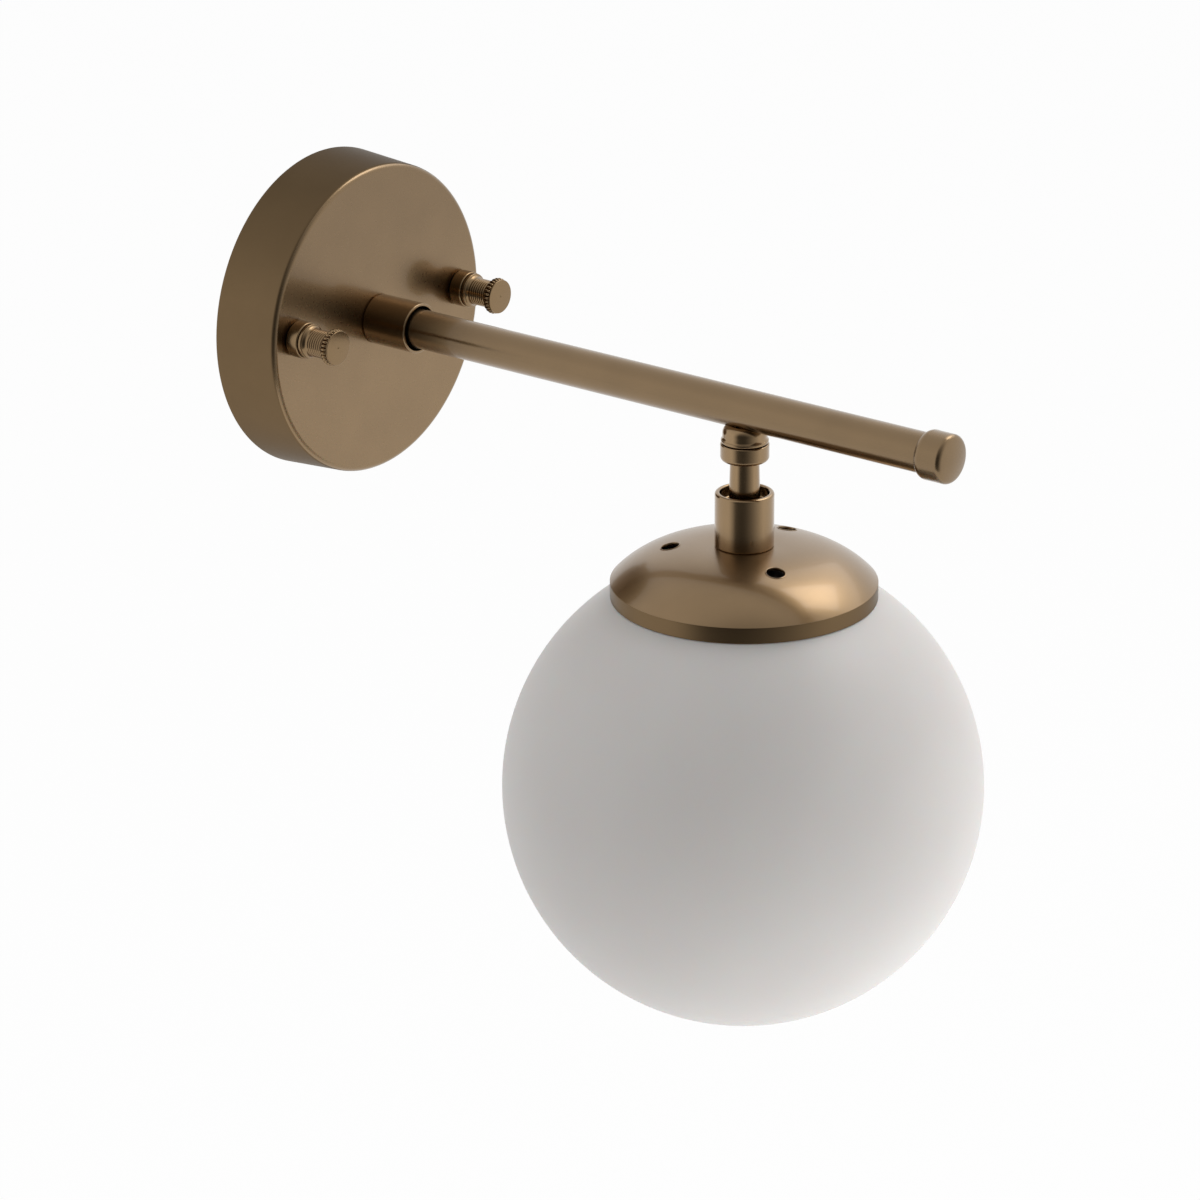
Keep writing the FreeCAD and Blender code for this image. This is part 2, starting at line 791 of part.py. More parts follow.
def make_cup():
    web_top = ball_z + s.cup_web_rise
    seat_top = ball_z + other_side(seat_r, s.cup_web_r)
    plug_top = cup_foot + s.plug_thick
    body = new_body("swivel_cup")
    revolve(body, [
        (s.cup_r, cup_foot), (s.cup_r, cup_lip), (s.cup_mouth_r, cup_lip), (s.cup_mouth_r, web_top),
        (s.cup_web_r, web_top), (s.cup_web_r, seat_top, -seat_r), (seat_r, ball_z), (seat_r, plug_top),
        (s.plug_r, plug_top), (s.plug_r, cup_foot),
    ])
    dress(body, "Fillet", s.cup_lip_round, [(s.cup_r, cup_lip)])
    dress(body, "Fillet", s.cup_foot_round, [(s.cup_r, cup_foot)])
    node(body, "swivel_cup", under_arm())


# The cap and what holds it

cap_r = s.globe_neck_r + s.cap_rim_room
cap_top = cup_foot
cap_inside = cap_top - s.cap_sheet
cap_edge = cap_top - s.cap_drop
cap_foot = cap_edge - s.cap_band
under_washer_foot = cap_inside - s.under_washer_thick
under_nut_foot = under_washer_foot - s.under_nut_thick
spider_foot = under_nut_foot - s.spider_thick
holder_hub_foot = spider_foot - s.holder_hub_length


def make_bushing():
    plug_top = cup_foot + s.plug_thick
    body = new_body("cup_bushing")
    revolve(body, [
        (s.nipple_bore_r, holder_hub_foot), (s.nipple_r, holder_hub_foot), (s.nipple_r, cup_foot),
        (s.plug_r - s.screw_gap, cup_foot), (s.plug_r - s.screw_gap, plug_top), (s.nipple_bore_r, plug_top),
    ])
    node(body, "cup_bushing", under_arm())


def cap_sketch(sketch):
    """Half outline of the cap: a flat top, two arcs that run into each other, and the upright band."""
    crown_r = s.cap_crown_r.value
    shoulder_r = s.cap_shoulder_r.value
    rim = FreeCAD.Vector(cap_r.value, cap_edge.value, 0)
    flat_end = FreeCAD.Vector(s.cap_flat_r.value, cap_top.value, 0)
    crown = flat_end - FreeCAD.Vector(0, crown_r, 0)
    span = rim - crown
    along = (span.Length ** 2 + (crown_r - shoulder_r) ** 2 - shoulder_r ** 2) / (2 * span.Length)
    aside = math.sqrt((crown_r - shoulder_r) ** 2 - along ** 2)
    unit = FreeCAD.Vector(span).normalize()
    shoulder = crown + unit * along + FreeCAD.Vector(-unit.y, unit.x, 0) * aside
    meet = crown + (shoulder - crown).normalize() * crown_r
    low_rim = FreeCAD.Vector(rim.x, cap_foot.value, 0)
    low_axis = FreeCAD.Vector(0, cap_foot.value, 0)
    axis_top = FreeCAD.Vector(0, cap_top.value, 0)

    shoulder_arc = sketch.addGeometry(arc_through(rim, meet, shoulder_r))
    crown_arc = sketch.addGeometry(arc_through(meet, flat_end, crown_r))
    flat = sketch.addGeometry(Part.LineSegment(flat_end, axis_top))
    axis = sketch.addGeometry(Part.LineSegment(axis_top, low_axis))
    foot = sketch.addGeometry(Part.LineSegment(low_axis, low_rim))
    band = sketch.addGeometry(Part.LineSegment(low_rim, rim))
    sketch.addConstraint([
        Sketcher.Constraint("Tangent", shoulder_arc, 2, crown_arc, 1),
        Sketcher.Constraint("Tangent", crown_arc, 2, flat, 1),
        Sketcher.Constraint("Coincident", flat, 2, axis, 1),
        Sketcher.Constraint("Coincident", axis, 2, foot, 1),
        Sketcher.Constraint("Coincident", foot, 2, band, 1),
        Sketcher.Constraint("Coincident", band, 2, shoulder_arc, 1),
        Sketcher.Constraint("Horizontal", flat),
        Sketcher.Constraint("PointOnObject", axis, 1, -2),
        Sketcher.Constraint("PointOnObject", axis, 2, -2),
        Sketcher.Constraint("Horizontal", foot),
    ])
    hold(sketch, "Radius", shoulder_arc, s.cap_shoulder_r)
    hold(sketch, "Radius", crown_arc, s.cap_crown_r)
    pin_point(sketch, band, 2, cap_r, cap_edge)
    hold(sketch, "DistanceX", -1, 1, band, 1, cap_r)
    hold(sketch, "DistanceY", -1, 1, band, 1, cap_foot)
    hold(sketch, "DistanceX", -1, 1, flat, 1, s.cap_flat_r)
    hold(sketch, "DistanceY", -1, 1, flat, 2, cap_top)


def make_shade_cap():
    body = new_body("shade_cap")
    sketch = sketch_on(body, "XZ_Plane")
    cap_sketch(sketch)
    revolve_sketch(body, sketch)
    shell(body, cap_foot, s.cap_sheet)
    cut_through(body, lambda drawing: circle(drawing, 0, 0, s.nipple_r + s.hole_gap))
    vent = cut_through(body, lambda drawing: circle(drawing, s.vent_circle_r, 0, s.vent_r))
    around(body, vent, s.vent_count)
    node(body, "shade_cap", under_arm(s.vent_phase))


def make_cap_fixing():
    hole_r = s.nipple_r + s.hole_gap
    turned("cap_washer", tube_corners(hole_r, s.under_washer_r, under_washer_foot, cap_inside), under_arm())
    nut = hex_nut("cap_locknut", s.big_nut_flats, s.nipple_r + s.screw_gap, s.under_nut_thick)
    place = turned_frame(spot(0, -s.swivel_out, under_nut_foot), "vector(0; 0; 1)", 0)
    node(nut, "cap_locknut", place)


# The spider and the springs that carry the globe

def make_spider():
    body = new_body("clip_plate")
    half_width = s.spider_arm_width / 2

    def hub(sketch):
        circle(sketch, 0, 0, s.spider_hub_r)

    def arm(sketch):
        outline(sketch, [
            (s.spider_hub_r / 2, -half_width), (s.spider_reach, -half_width),
            (s.spider_reach, half_width), (s.spider_hub_r / 2, half_width),
        ])

    pad(body, hub, s.spider_thick)
    around(body, pad(body, arm, s.spider_thick), Size(3))
    cut_through(body, lambda drawing: circle(drawing, 0, 0, s.nipple_r + s.screw_gap))
    rivet_hole = cut_through(body, lambda drawing: circle(drawing, s.rivet_circle_r, 0, s.rivet_r + s.screw_gap))
    around(body, rivet_hole, Size(3))
    place = turned_frame(spot(0, -s.swivel_out, spider_foot), "vector(0; 0; 1)", s.spring_phase)
    node(body, "clip_plate", place)


def make_springs():
    sheet_thick = s.spring_sheet
    leg_r = s.globe_neck_r - s.globe_wall - s.seat_gap
    bend_r = leg_r - s.spring_bend
    bend_z = spider_foot - s.spring_bend
    neck_foot = globe_z + other_side(s.globe_r - s.globe_wall, s.globe_neck_r - s.globe_wall)
    nose_r = leg_r + s.spring_nose
    nose_z = neck_foot - s.spring_nose_drop
    tail_z = nose_z - s.spring_tail_drop
    springs = []
    rivets = []
    for number in range(3):
        turn = s.spring_phase + 120 * number
        spring = new_body(f"globe_clip_{number + 1}")
        sketch = sketch_on(spring, "XZ_Plane")
        outline(sketch, [
            (s.spring_root_r, spider_foot - sheet_thick),
            (bend_r, spider_foot - sheet_thick, sheet_thick - s.spring_bend),
            (leg_r - sheet_thick, bend_z), (leg_r - sheet_thick, neck_foot), (nose_r - sheet_thick, nose_z),
            (leg_r - sheet_thick, tail_z), (leg_r, tail_z), (nose_r, nose_z), (leg_r, neck_foot),
            (leg_r, bend_z, s.spring_bend), (bend_r, spider_foot), (s.spring_root_r, spider_foot),
        ])
        leaf = spring.newObject("PartDesign::Pad", f"{spring.Name}_pad")
        leaf.Profile = sketch
        leaf.Midplane = True
        bind(leaf, Length=s.spring_width)
        finish_feature(spring, leaf)
        hole = doc.addObject("Part::Cylinder", f"globe_clip_hole_{number + 1}")
        bind(hole, Radius=s.rivet_r + s.screw_gap, Height=sheet_thick * 3)
        spring.setExpression("Placement", under_arm(turn))
        hole_frame = turned_frame(spot(s.rivet_circle_r, 0, spider_foot - sheet_thick * 2), "vector(0; 0; 1)", 0)
        hole.setExpression("Placement", f"{under_arm(turn)} * {hole_frame}")
        cut = doc.addObject("Part::Cut", f"globe_clip_cut_{number + 1}")
        cut.Base = spring
        cut.Tool = hole
        springs.append(cut)
        rivets.append(make_rivet(number, turn))
    group("globe_clips", springs)
    group("clip_rivets", rivets)


def make_rivet(number, turn):
    under = spider_foot - s.spring_sheet
    over = under_nut_foot
    rivet = new_body(f"clip_rivet_{number + 1}")
    revolve(rivet, [
        (ZERO, under - s.rivet_head_thick), (s.rivet_head_r, under - s.rivet_head_thick), (s.rivet_head_r, under),
        (s.rivet_r, under), (s.rivet_r, over), (s.rivet_head_r, over), (s.rivet_head_r, over + s.rivet_head_thick),
        (ZERO, over + s.rivet_head_thick),
    ])
    dress(rivet, "Fillet", s.rivet_head_thick / 2, [
        (s.rivet_head_r, under - s.rivet_head_thick), (s.rivet_head_r, over + s.rivet_head_thick),
    ])
    frame = turned_frame(spot(s.rivet_circle_r, 0, 0), "vector(0; 0; 1)", 0)
    rivet.setExpression("Placement", f"{under_arm(turn)} * {frame}")
    return rivet


cap_inner_r = cap_r - s.cap_sheet
globe_z = cap_foot - s.rim_gap - other_side(s.globe_r, cap_inner_r)


def make_globe():
    neck_top = -s.globe_neck_top
    inner_r = s.globe_r - s.globe_wall
    neck_inner_r = s.globe_neck_r - s.globe_wall
    body = new_body("globe")
    revolve(body, [
        (s.globe_neck_r, globe_z + other_side(s.globe_r, s.globe_neck_r)), (s.globe_neck_r, neck_top),
        (neck_inner_r, neck_top), (neck_inner_r, globe_z + other_side(inner_r, neck_inner_r), -inner_r),
        (inner_r, globe_z, -inner_r), (ZERO, globe_z - inner_r), (ZERO, globe_z - s.globe_r, s.globe_r),
        (s.globe_r, globe_z, s.globe_r),
    ])
    dress(body, "Fillet", s.globe_wall / 3, [(s.globe_neck_r, neck_top), (neck_inner_r, neck_top)])
    node(body, "globe", under_arm())


# The lampholder and the bulb

holder_top_foot = spider_foot - s.holder_top_length
holder_floor_foot = holder_top_foot - s.holder_floor
contact_foot = holder_floor_foot - s.contact_thick


def make_lampholder():
    inner_r = s.holder_r - s.holder_wall
    hub_bore = s.nipple_r + s.screw_gap
    lid_inside = spider_foot - s.holder_top_thick
    lid = turned("holder_top", [
        (hub_bore, holder_hub_foot), (s.holder_hub_r, holder_hub_foot), (s.holder_hub_r, lid_inside),
        (inner_r, lid_inside), (inner_r, holder_top_foot), (s.holder_r, holder_top_foot),
        (s.holder_r, spider_foot), (hub_bore, spider_foot),
    ], under_arm())
    dress(lid, "Fillet", s.holder_top_thick / 2, [(s.holder_r, spider_foot)])
    foot = holder_floor_foot - s.holder_length
    turned("holder_body", [
        (ZERO, holder_floor_foot), (inner_r, holder_floor_foot), (inner_r, foot), (s.holder_r, foot),
        (s.holder_r, holder_top_foot), (ZERO, holder_top_foot),
    ], under_arm())
    shell_foot = holder_floor_foot - s.shell_length
    shell_inner = s.shell_r - s.shell_sheet
    shell_roof = holder_floor_foot - s.shell_sheet
    turned("holder_shell", [
        (s.shell_hole_r, shell_roof), (shell_inner, shell_roof), (shell_inner, shell_foot),
        (s.shell_r, shell_foot), (s.shell_r, holder_floor_foot), (s.shell_hole_r, holder_floor_foot),
    ], under_arm())
    contact = turned("holder_contact", [
        (ZERO, contact_foot), (s.contact_r, contact_foot), (s.contact_r, holder_floor_foot),
        (ZERO, holder_floor_foot),
    ], under_arm())
    dress(contact, "Fillet", s.contact_thick / 2, [(s.contact_r, contact_foot)])


def make_bulb():
    tip_top = contact_foot - s.seat_gap
    insulator_top = tip_top - s.bulb_tip_thick
    base_top = insulator_top - s.bulb_insulator_thick
    base_full = base_top - s.bulb_base_taper
    base_foot = base_top - s.bulb_base_length
    sheet_thick = s.bulb_base_sheet
    turned("bulb_contact", [
        (ZERO, insulator_top), (s.bulb_tip_r, insulator_top), (s.bulb_tip_r, tip_top), (ZERO, tip_top),
    ], under_arm())
    turned("bulb_insulator", [
        (ZERO, base_top), (s.bulb_insulator_r, base_top), (s.bulb_tip_r, insulator_top), (ZERO, insulator_top),
    ], under_arm())
    turned("bulb_base", [
        (s.bulb_base_r - sheet_thick, base_full), (s.bulb_base_r - sheet_thick, base_foot),
        (s.bulb_base_r, base_foot), (s.bulb_base_r, base_full), (s.bulb_insulator_r, base_top),
        (s.bulb_insulator_r - sheet_thick, base_top),
    ], under_arm())
    centre = tip_top - s.bulb_length + s.bulb_r
    shoulder = centre + other_side(s.bulb_r, s.bulb_shoulder_r)
    inner_r = s.bulb_r - s.bulb_wall
    inner_shoulder_r = s.bulb_shoulder_r - s.bulb_wall
    inner_shoulder = centre + other_side(inner_r, inner_shoulder_r)
    root_r = s.bulb_base_r - sheet_thick - s.screw_gap
    root_top = base_foot + s.bulb_wall * 4
    neck_foot = base_foot - s.bulb_neck_length
    turned("bulb_glass", [
        (root_r, root_top), (root_r - s.bulb_wall, root_top), (root_r - s.bulb_wall, base_foot),
        (s.bulb_neck_r - s.bulb_wall, neck_foot),
        (inner_shoulder_r, inner_shoulder, -inner_r), (inner_r, centre, -inner_r), (ZERO, centre - inner_r),
        (ZERO, centre - s.bulb_r, s.bulb_r), (s.bulb_r, centre, s.bulb_r), (s.bulb_shoulder_r, shoulder),
        (s.bulb_neck_r, neck_foot), (root_r, base_foot),
    ], under_arm())


def check_and_write():
    doc.recompute()
    for item in doc.Objects:
        if "Invalid" in item.State or "Error" in item.State:
            raise RuntimeError(f"{item.Name} failed: {item.State}")
    os.makedirs("parts", exist_ok=True)
    for item in NODES:
        shape = item.Shape
        if shape.isNull() or not shape.isValid() or not shape.Solids:
            raise RuntimeError(f"{item.Label} has no valid solid")
        shape.exportStep(f"parts/{item.Label}.step")
        print(f"{item.Label}: {len(shape.Solids)} solids, {shape.Volume:.1f} cubic mm")


make_backplate()
make_crossbar()
make_studs()
make_ground_screw()
make_thumb_nuts()
make_collar()
make_arm_tube()
make_arm_fixing()
make_end_cap()
make_saddle()
make_swivel_rings()
make_stem()
make_cup()
make_bushing()
make_shade_cap()
make_cap_fixing()
make_spider()
make_springs()
make_globe()
make_lampholder()
make_bulb()
check_and_write()
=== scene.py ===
import json
import math

import bmesh
import bpy
from mathutils import Matrix, Vector

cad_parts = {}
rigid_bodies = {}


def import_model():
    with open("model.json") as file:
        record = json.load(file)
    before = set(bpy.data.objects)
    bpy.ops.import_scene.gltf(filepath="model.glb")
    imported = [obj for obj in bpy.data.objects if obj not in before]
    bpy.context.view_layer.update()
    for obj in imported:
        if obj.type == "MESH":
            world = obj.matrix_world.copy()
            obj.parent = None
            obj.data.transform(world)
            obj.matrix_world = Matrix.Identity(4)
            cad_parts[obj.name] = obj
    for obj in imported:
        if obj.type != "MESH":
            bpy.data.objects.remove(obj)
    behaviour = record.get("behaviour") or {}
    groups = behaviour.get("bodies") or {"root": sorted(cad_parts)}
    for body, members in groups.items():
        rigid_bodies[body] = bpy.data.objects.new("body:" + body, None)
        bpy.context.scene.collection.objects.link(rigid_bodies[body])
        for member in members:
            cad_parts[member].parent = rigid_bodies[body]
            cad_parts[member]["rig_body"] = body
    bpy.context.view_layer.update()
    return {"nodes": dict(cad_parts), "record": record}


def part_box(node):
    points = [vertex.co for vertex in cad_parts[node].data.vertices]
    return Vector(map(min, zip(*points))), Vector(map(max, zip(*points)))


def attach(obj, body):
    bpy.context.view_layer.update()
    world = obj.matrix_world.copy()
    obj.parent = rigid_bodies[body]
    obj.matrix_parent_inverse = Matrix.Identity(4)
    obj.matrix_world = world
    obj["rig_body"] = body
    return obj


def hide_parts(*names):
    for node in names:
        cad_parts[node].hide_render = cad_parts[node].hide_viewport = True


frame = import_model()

# The scene is in metres and the profiles below are in millimetres. The arm runs out from the wall along
# -Y at zero height, and the swivel, the cap and the globe hang on one upright axis under it. FIT is the
# clearance on the radius where one piece goes through another, CUT_PAST how far a cutter reaches past what
# it cuts, and NEAR how far a point of an arc may lie from its place.

MM = 0.001
SIDES = ("left", "right")
FIT = 0.05
CUT_PAST = 5
SHARP_ANGLE = 35
UPRIGHT_COSINE = 0.5
NOISE_SPAN = (0.3, 0.7)
TINY = 1e-6
NEAR = 0.01
NODES = frame["nodes"]
SLOTS = {row["node"]: row["material_slot"] for row in frame["record"]["subparts"]}


# Places and sizes read from the frame

def middle(node):
    """The middle of a node's box, in metres."""
    low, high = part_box(node)
    return (low + high) / 2


def rise(node):
    """The lowest and the highest point of a node, in millimetres."""
    low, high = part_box(node)
    return low.z / MM, high.z / MM


def reach(node):
    """How far from the wall a node starts and ends, in millimetres."""
    low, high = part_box(node)
    return -high.y / MM, -low.y / MM


def radius_of(node):
    """Half the width of a node, in millimetres."""
    low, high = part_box(node)
    return (high.x - low.x) / 2 / MM


OUTWARD = Matrix.Rotation(math.radians(90), 4, "X")
HANGING = Matrix.Translation((0, middle("swivel_stem").y, 0))


def out_from(node):
    """Local Z runs out from the wall through the middle of a node, from zero at the wall."""
    centre = middle(node)
    return Matrix.Translation((centre.x, 0, centre.z)) @ OUTWARD


# Profiles, as points of radius and height

def bow(start, end, radius, steps=12):
    """Points on an arc between two points. A minus radius bends it to the other side."""
    start = Vector(start)
    end = Vector(end)
    chord = end - start
    sideways = Vector((-chord.y, chord.x)).normalized()
    offset = math.sqrt(max(radius ** 2 - chord.length_squared / 4, 0))
    centre = (start + end) / 2 + sideways * math.copysign(offset, radius)
    first = start - centre
    last = end - centre
    return [centre + first.slerp(last, step / steps) * abs(radius) for step in range(steps + 1)]


def bend(before, corner, after, radius, steps=6):
    """The points of a round of this radius at a corner."""
    back = (before - corner).normalized()
    ahead = (after - corner).normalized()
    half = back.angle(ahead) / 2
    along = radius / math.tan(half)
    centre = corner + (back + ahead).normalized() * (radius / math.sin(half))
    first = corner + back * along - centre
    last = corner + ahead * along - centre
    return [centre + first.slerp(last, step / steps) * radius for step in range(steps + 1)]


def soften(corners):
    """A profile whose corners are points, or points with a third number that rounds them."""
    points = []
    for index, corner in enumerate(corners):
        here = Vector(corner[:2])
        if len(corner) == 2:
            points.append(here)
        else:
            before = Vector(corners[index - 1][:2])
            after = Vector(corners[(index + 1) % len(corners)][:2])
            points += bend(before, here, after, corner[2])
    return points


def as_corners(points):
    """The points of an arc, as corners that stay as they are."""
    return [tuple(point) for point in points]


# Making and dressing a piece

def new_piece(name, bm, place):
    """A mesh made in millimetres, set in its place in the scene."""
    bmesh.ops.recalc_face_normals(bm, faces=bm.faces)
    mesh = bpy.data.meshes.new(name)
    bm.to_mesh(mesh)
    bm.free()
    mesh.transform(place @ Matrix.Scale(MM, 4))
    piece = bpy.data.objects.new(name, mesh)
    bpy.context.scene.collection.objects.link(piece)
    return piece


def ring_of(bm, radius, height, segments, ripple):
    """The points of one ring, which on the axis are all the same point."""
    if radius < TINY:
        return [bm.verts.new((0, 0, height))] * segments
    ring = []
    for step in range(segments):
        angle = 2 * math.pi * step / segments
        out = radius + (ripple(radius, height, angle) if ripple else 0)
        ring.append(bm.verts.new((out * math.cos(angle), out * math.sin(angle), height)))
    return ring


def lathe(name, profile, place, segments=96, ripple=None):
    """Turn a closed profile about local Z. ripple gives what is added to the radius at a point."""
    bm = bmesh.new()
    rings = [ring_of(bm, radius, height, segments, ripple) for radius, height in profile]
    for index, ring in enumerate(rings):
        before = rings[index - 1]
        for step in range(segments):
            after = (step + 1) % segments
            corners = dict.fromkeys((before[step], before[after], ring[after], ring[step]))
            if len(corners) > 2:
                bm.faces.new(corners)
    return new_piece(name, bm, place)


def rod(name, radius, low, high, place, segments=64):
    """A plain rod along local Z, to cut with."""
    return lathe(name, [(0, low), (radius, low), (radius, high), (0, high)], place, segments)


def cut_away(piece, *cutters):
    """Cut solids out of a piece and take them away."""
    for cutter in cutters:
        change = piece.modifiers.new("cut", "BOOLEAN")
        change.operation = "DIFFERENCE"
        change.solver = "EXACT"
        change.object = cutter
    graph = bpy.context.evaluated_depsgraph_get()
    mesh = bpy.data.meshes.new_from_object(piece.evaluated_get(graph))
    piece.modifiers.clear()
    piece.data = mesh
    for cutter in cutters:
        bpy.data.objects.remove(cutter)


def smooth(piece):
    """Smooth a piece, with its corners kept and its flat faces flat."""
    piece.data.shade_smooth()
    piece.data.set_sharp_from_angle(angle=math.radians(SHARP_ANGLE))
    weigh = piece.modifiers.new("weigh", "WEIGHTED_NORMAL")
    weigh.keep_sharp = True


def paint(piece, material):
    """Give a piece one finish all over."""
    piece.data.materials.clear()
    piece.data.materials.append(material)


def paint_upright(piece, material, axis):
    """Give the faces that run along an axis a material of their own, used here for darker copies of the
    brass that paint shade on them.
    """
    piece.data.materials.append(material)
    for face in piece.data.polygons:
        if abs(face.normal.dot(axis)) < UPRIGHT_COSINE:
            face.material_index = 1


def dress(piece, node, material=None):
    """Show a piece in place of its CAD node, on that node's body and with its finish."""
    smooth(piece)
    paint(piece, material or MATERIALS[SLOTS[node]])
    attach(piece, NODES[node]["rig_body"])
    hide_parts(node)


# Materials

def rgb(red, green, blue):
    """A colour as a screen shows it, turned into the linear one that a shader takes."""
    def linear(value):
        """One channel, from 0 to 255, as linear light."""
        value /= 255
        return value / 12.92 if value <= 0.04045 else ((value + 0.055) / 1.055) ** 2.4
    return (linear(red), linear(green), linear(blue), 1)


class Shader:
    """A material with one Principled shader, and the helpers that wire it."""

    def __init__(self, name):
        self.material = bpy.data.materials.new(name)
        self.material.use_nodes = True
        self.tree = self.material.node_tree
        self.tree.nodes.clear()
        self.output = self.add("ShaderNodeOutputMaterial")
        self.main = self.add("ShaderNodeBsdfPrincipled")
        self.join(self.main.outputs["BSDF"], self.output.inputs["Surface"])
        self.where = self.add("ShaderNodeTexCoord").outputs["Object"]

    def add(self, kind, **settings):
        """A new node of this kind, with its settings."""
        node = self.tree.nodes.new(kind)
        for key, value in settings.items():
            setattr(node, key, value)
        return node

    def join(self, start, end):
        """Wire an output to an input."""
        self.tree.links.new(start, end)

    def set(self, **values):
        """Numbers and colours that are the same all over, on the shader's own sockets."""
        for key, value in values.items():
            self.main.inputs[key.replace("_", " ")].default_value = value

    def noise(self, scale, detail=2.0):
        """Noise with this many features to the metre."""
        texture = self.add("ShaderNodeTexNoise")
        texture.inputs["Scale"].default_value = scale
        texture.inputs["Detail"].default_value = detail
        self.join(self.where, texture.inputs["Vector"])
        return texture.outputs["Fac"]

    def span(self, value, low, high):
        """Spread noise over a range of numbers."""
        node = self.add("ShaderNodeMapRange")
        self.join(value, node.inputs["Value"])
        node.inputs["From Min"].default_value, node.inputs["From Max"].default_value = NOISE_SPAN
        node.inputs["To Min"].default_value = low
        node.inputs["To Max"].default_value = high
        return node.outputs["Result"]

    def blend(self, value, first, second):
        """Spread noise over two colours."""
        ramp = self.add("ShaderNodeValToRGB")
        for stop, place, colour in zip(ramp.color_ramp.elements, NOISE_SPAN, (first, second)):
            stop.position = place
            stop.color = colour
        self.join(value, ramp.inputs["Fac"])
        return ramp.outputs["Color"]

    def fade(self, axis, start, end, first, last):
        """A number that runs from first to last between two places along an axis of the piece."""
        split = self.add("ShaderNodeSeparateXYZ")
        self.join(self.where, split.inputs["Vector"])
        node = self.add("ShaderNodeMapRange")
        self.join(split.outputs[axis], node.inputs["Value"])
        node.inputs["From Min"].default_value = start * MM
        node.inputs["From Max"].default_value = end * MM
        node.inputs["To Min"].default_value = first
        node.inputs["To Max"].default_value = last
        return node.outputs["Result"]

    def scaled(self, colour, factor):
        """A colour made darker or lighter by a number."""
        node = self.add("ShaderNodeVectorMath", operation="SCALE")
        self.join(colour, node.inputs["Vector"])
        self.join(factor, node.inputs["Scale"])
        return node.outputs["Vector"]

    def bump(self, value, strength, depth):
        """Raise the surface by up to depth, in metres."""
        node = self.add("ShaderNodeBump")
        node.inputs["Strength"].default_value = strength
        node.inputs["Distance"].default_value = depth
        self.join(value, node.inputs["Height"])
        self.join(node.outputs["Normal"], self.main.inputs["Normal"])


def grey(level):
    """A neutral colour of this linear level."""
    return (level, level, level, 1)


def tinted(colour, share):
    """A colour with each of its channels at this share."""
    return tuple(channel * share for channel in colour[:3]) + (1,)


ANTIQUE = rgb(150, 124, 91)
OPAL_DEEP = rgb(206, 202, 199)
OPAL_PALE = rgb(210, 207, 204)
GRAIN_DEPTH = 0.0001
BRASS_CLOUD = 0.93
BRASS_UNEVEN = 0.03
METAL_CLOUD = 0.9
METAL_UNEVEN = 0.1
GLAZE_CLOUD = 0.93
GLAZE_UNEVEN = 0.06
# How the painted shade on the pan's side and face runs with height, in millimetres, from the first share to
# the last
SIDE_PAINTED_SHADE = {"start": 15, "end": 47, "first": 1.0, "last": 0.6}
FACE_PAINTED_SHADE = {"start": -15, "end": 30, "first": 1.0, "last": 0.8}


def satin_brass(name, roughness, tone=1.0, turned=None, shade_paint=None, coat=0.4, rim=1.0):
    """Antique brass under satin lacquer, a little cloudy, with a fine grain.

    turned is the axis that the piece was turned about, which spreads what it mirrors along that axis.
    The darkening function, if one is given, paints shade: it darkens the colour from place to place. coat
    is how much lacquer it has, and rim how bright it turns where it is seen at a slant.
    """
    shader = Shader(name)
    shader.set(Metallic=1.0, Coat_Weight=coat, Coat_Roughness=0.1, Specular_Tint=grey(rim))
    colour = shader.blend(shader.noise(60, 3.0), tinted(ANTIQUE, BRASS_CLOUD * tone), tinted(ANTIQUE, tone))
    if shade_paint:
        colour = shader.scaled(colour, shade_paint(shader))
    shader.join(colour, shader.main.inputs["Base Color"])
    grain = shader.noise(1100)
    shader.join(shader.span(grain, roughness, roughness + BRASS_UNEVEN), shader.main.inputs["Roughness"])
    shader.bump(grain, 0.02, GRAIN_DEPTH)
    if turned:
        around = shader.add("ShaderNodeTangent", direction_type="RADIAL", axis=turned)
        shader.join(around.outputs["Tangent"], shader.main.inputs["Tangent"])
        shader.set(Anisotropic=0.6, Anisotropic_Rotation=0.25)
    return shader.material


def opal_glass():
    """White opal glass, etched to a matt outside, with a faint cloudiness in the melt."""
    shader = Shader("opal_glass")
    shader.set(Subsurface_Weight=0.2, Subsurface_Scale=0.004)
    cloud = shader.noise(18)
    shader.join(shader.blend(cloud, OPAL_DEEP, OPAL_PALE), shader.main.inputs["Base Color"])
    frost = shader.noise(2500, 1.0)
    shader.join(shader.span(frost, 0.46, 0.56), shader.main.inputs["Roughness"])
    shader.bump(frost, 0.02, GRAIN_DEPTH)
    return shader.material


def plain_metal(name, colour, roughness):
    """A bare or plated metal with a slightly uneven polish."""
    shader = Shader(name)
    shader.set(Metallic=1.0)
    cloud = shader.noise(120, 3.0)
    shader.join(shader.blend(cloud, tinted(colour, METAL_CLOUD), colour), shader.main.inputs["Base Color"])
    shader.join(shader.span(cloud, roughness, roughness + METAL_UNEVEN), shader.main.inputs["Roughness"])
    shader.bump(shader.noise(1500), 0.05, GRAIN_DEPTH)
    return shader.material


def glazed(name, colour, roughness):
    """Glaze, lacquer or glass with a faint mottle."""
    shader = Shader(name)
    shader.set(Coat_Weight=0.3, Coat_Roughness=0.08)
    cloud = shader.noise(90)
    shader.join(shader.blend(cloud, tinted(colour, GLAZE_CLOUD), colour), shader.main.inputs["Base Color"])
    shader.join(shader.span(cloud, roughness, roughness + GLAZE_UNEVEN), shader.main.inputs["Roughness"])
    shader.bump(shader.noise(700, 1.0), 0.02, GRAIN_DEPTH)
    return shader.material


def side_painted_shade(shader):
    """Painted shade: the pan's side is darkest near its top."""
    return shader.fade("Z", **SIDE_PAINTED_SHADE)


def face_painted_shade(shader):
    """Painted shade: the pan's face is a little darker towards its top."""
    return shader.fade("Z", **FACE_PAINTED_SHADE)


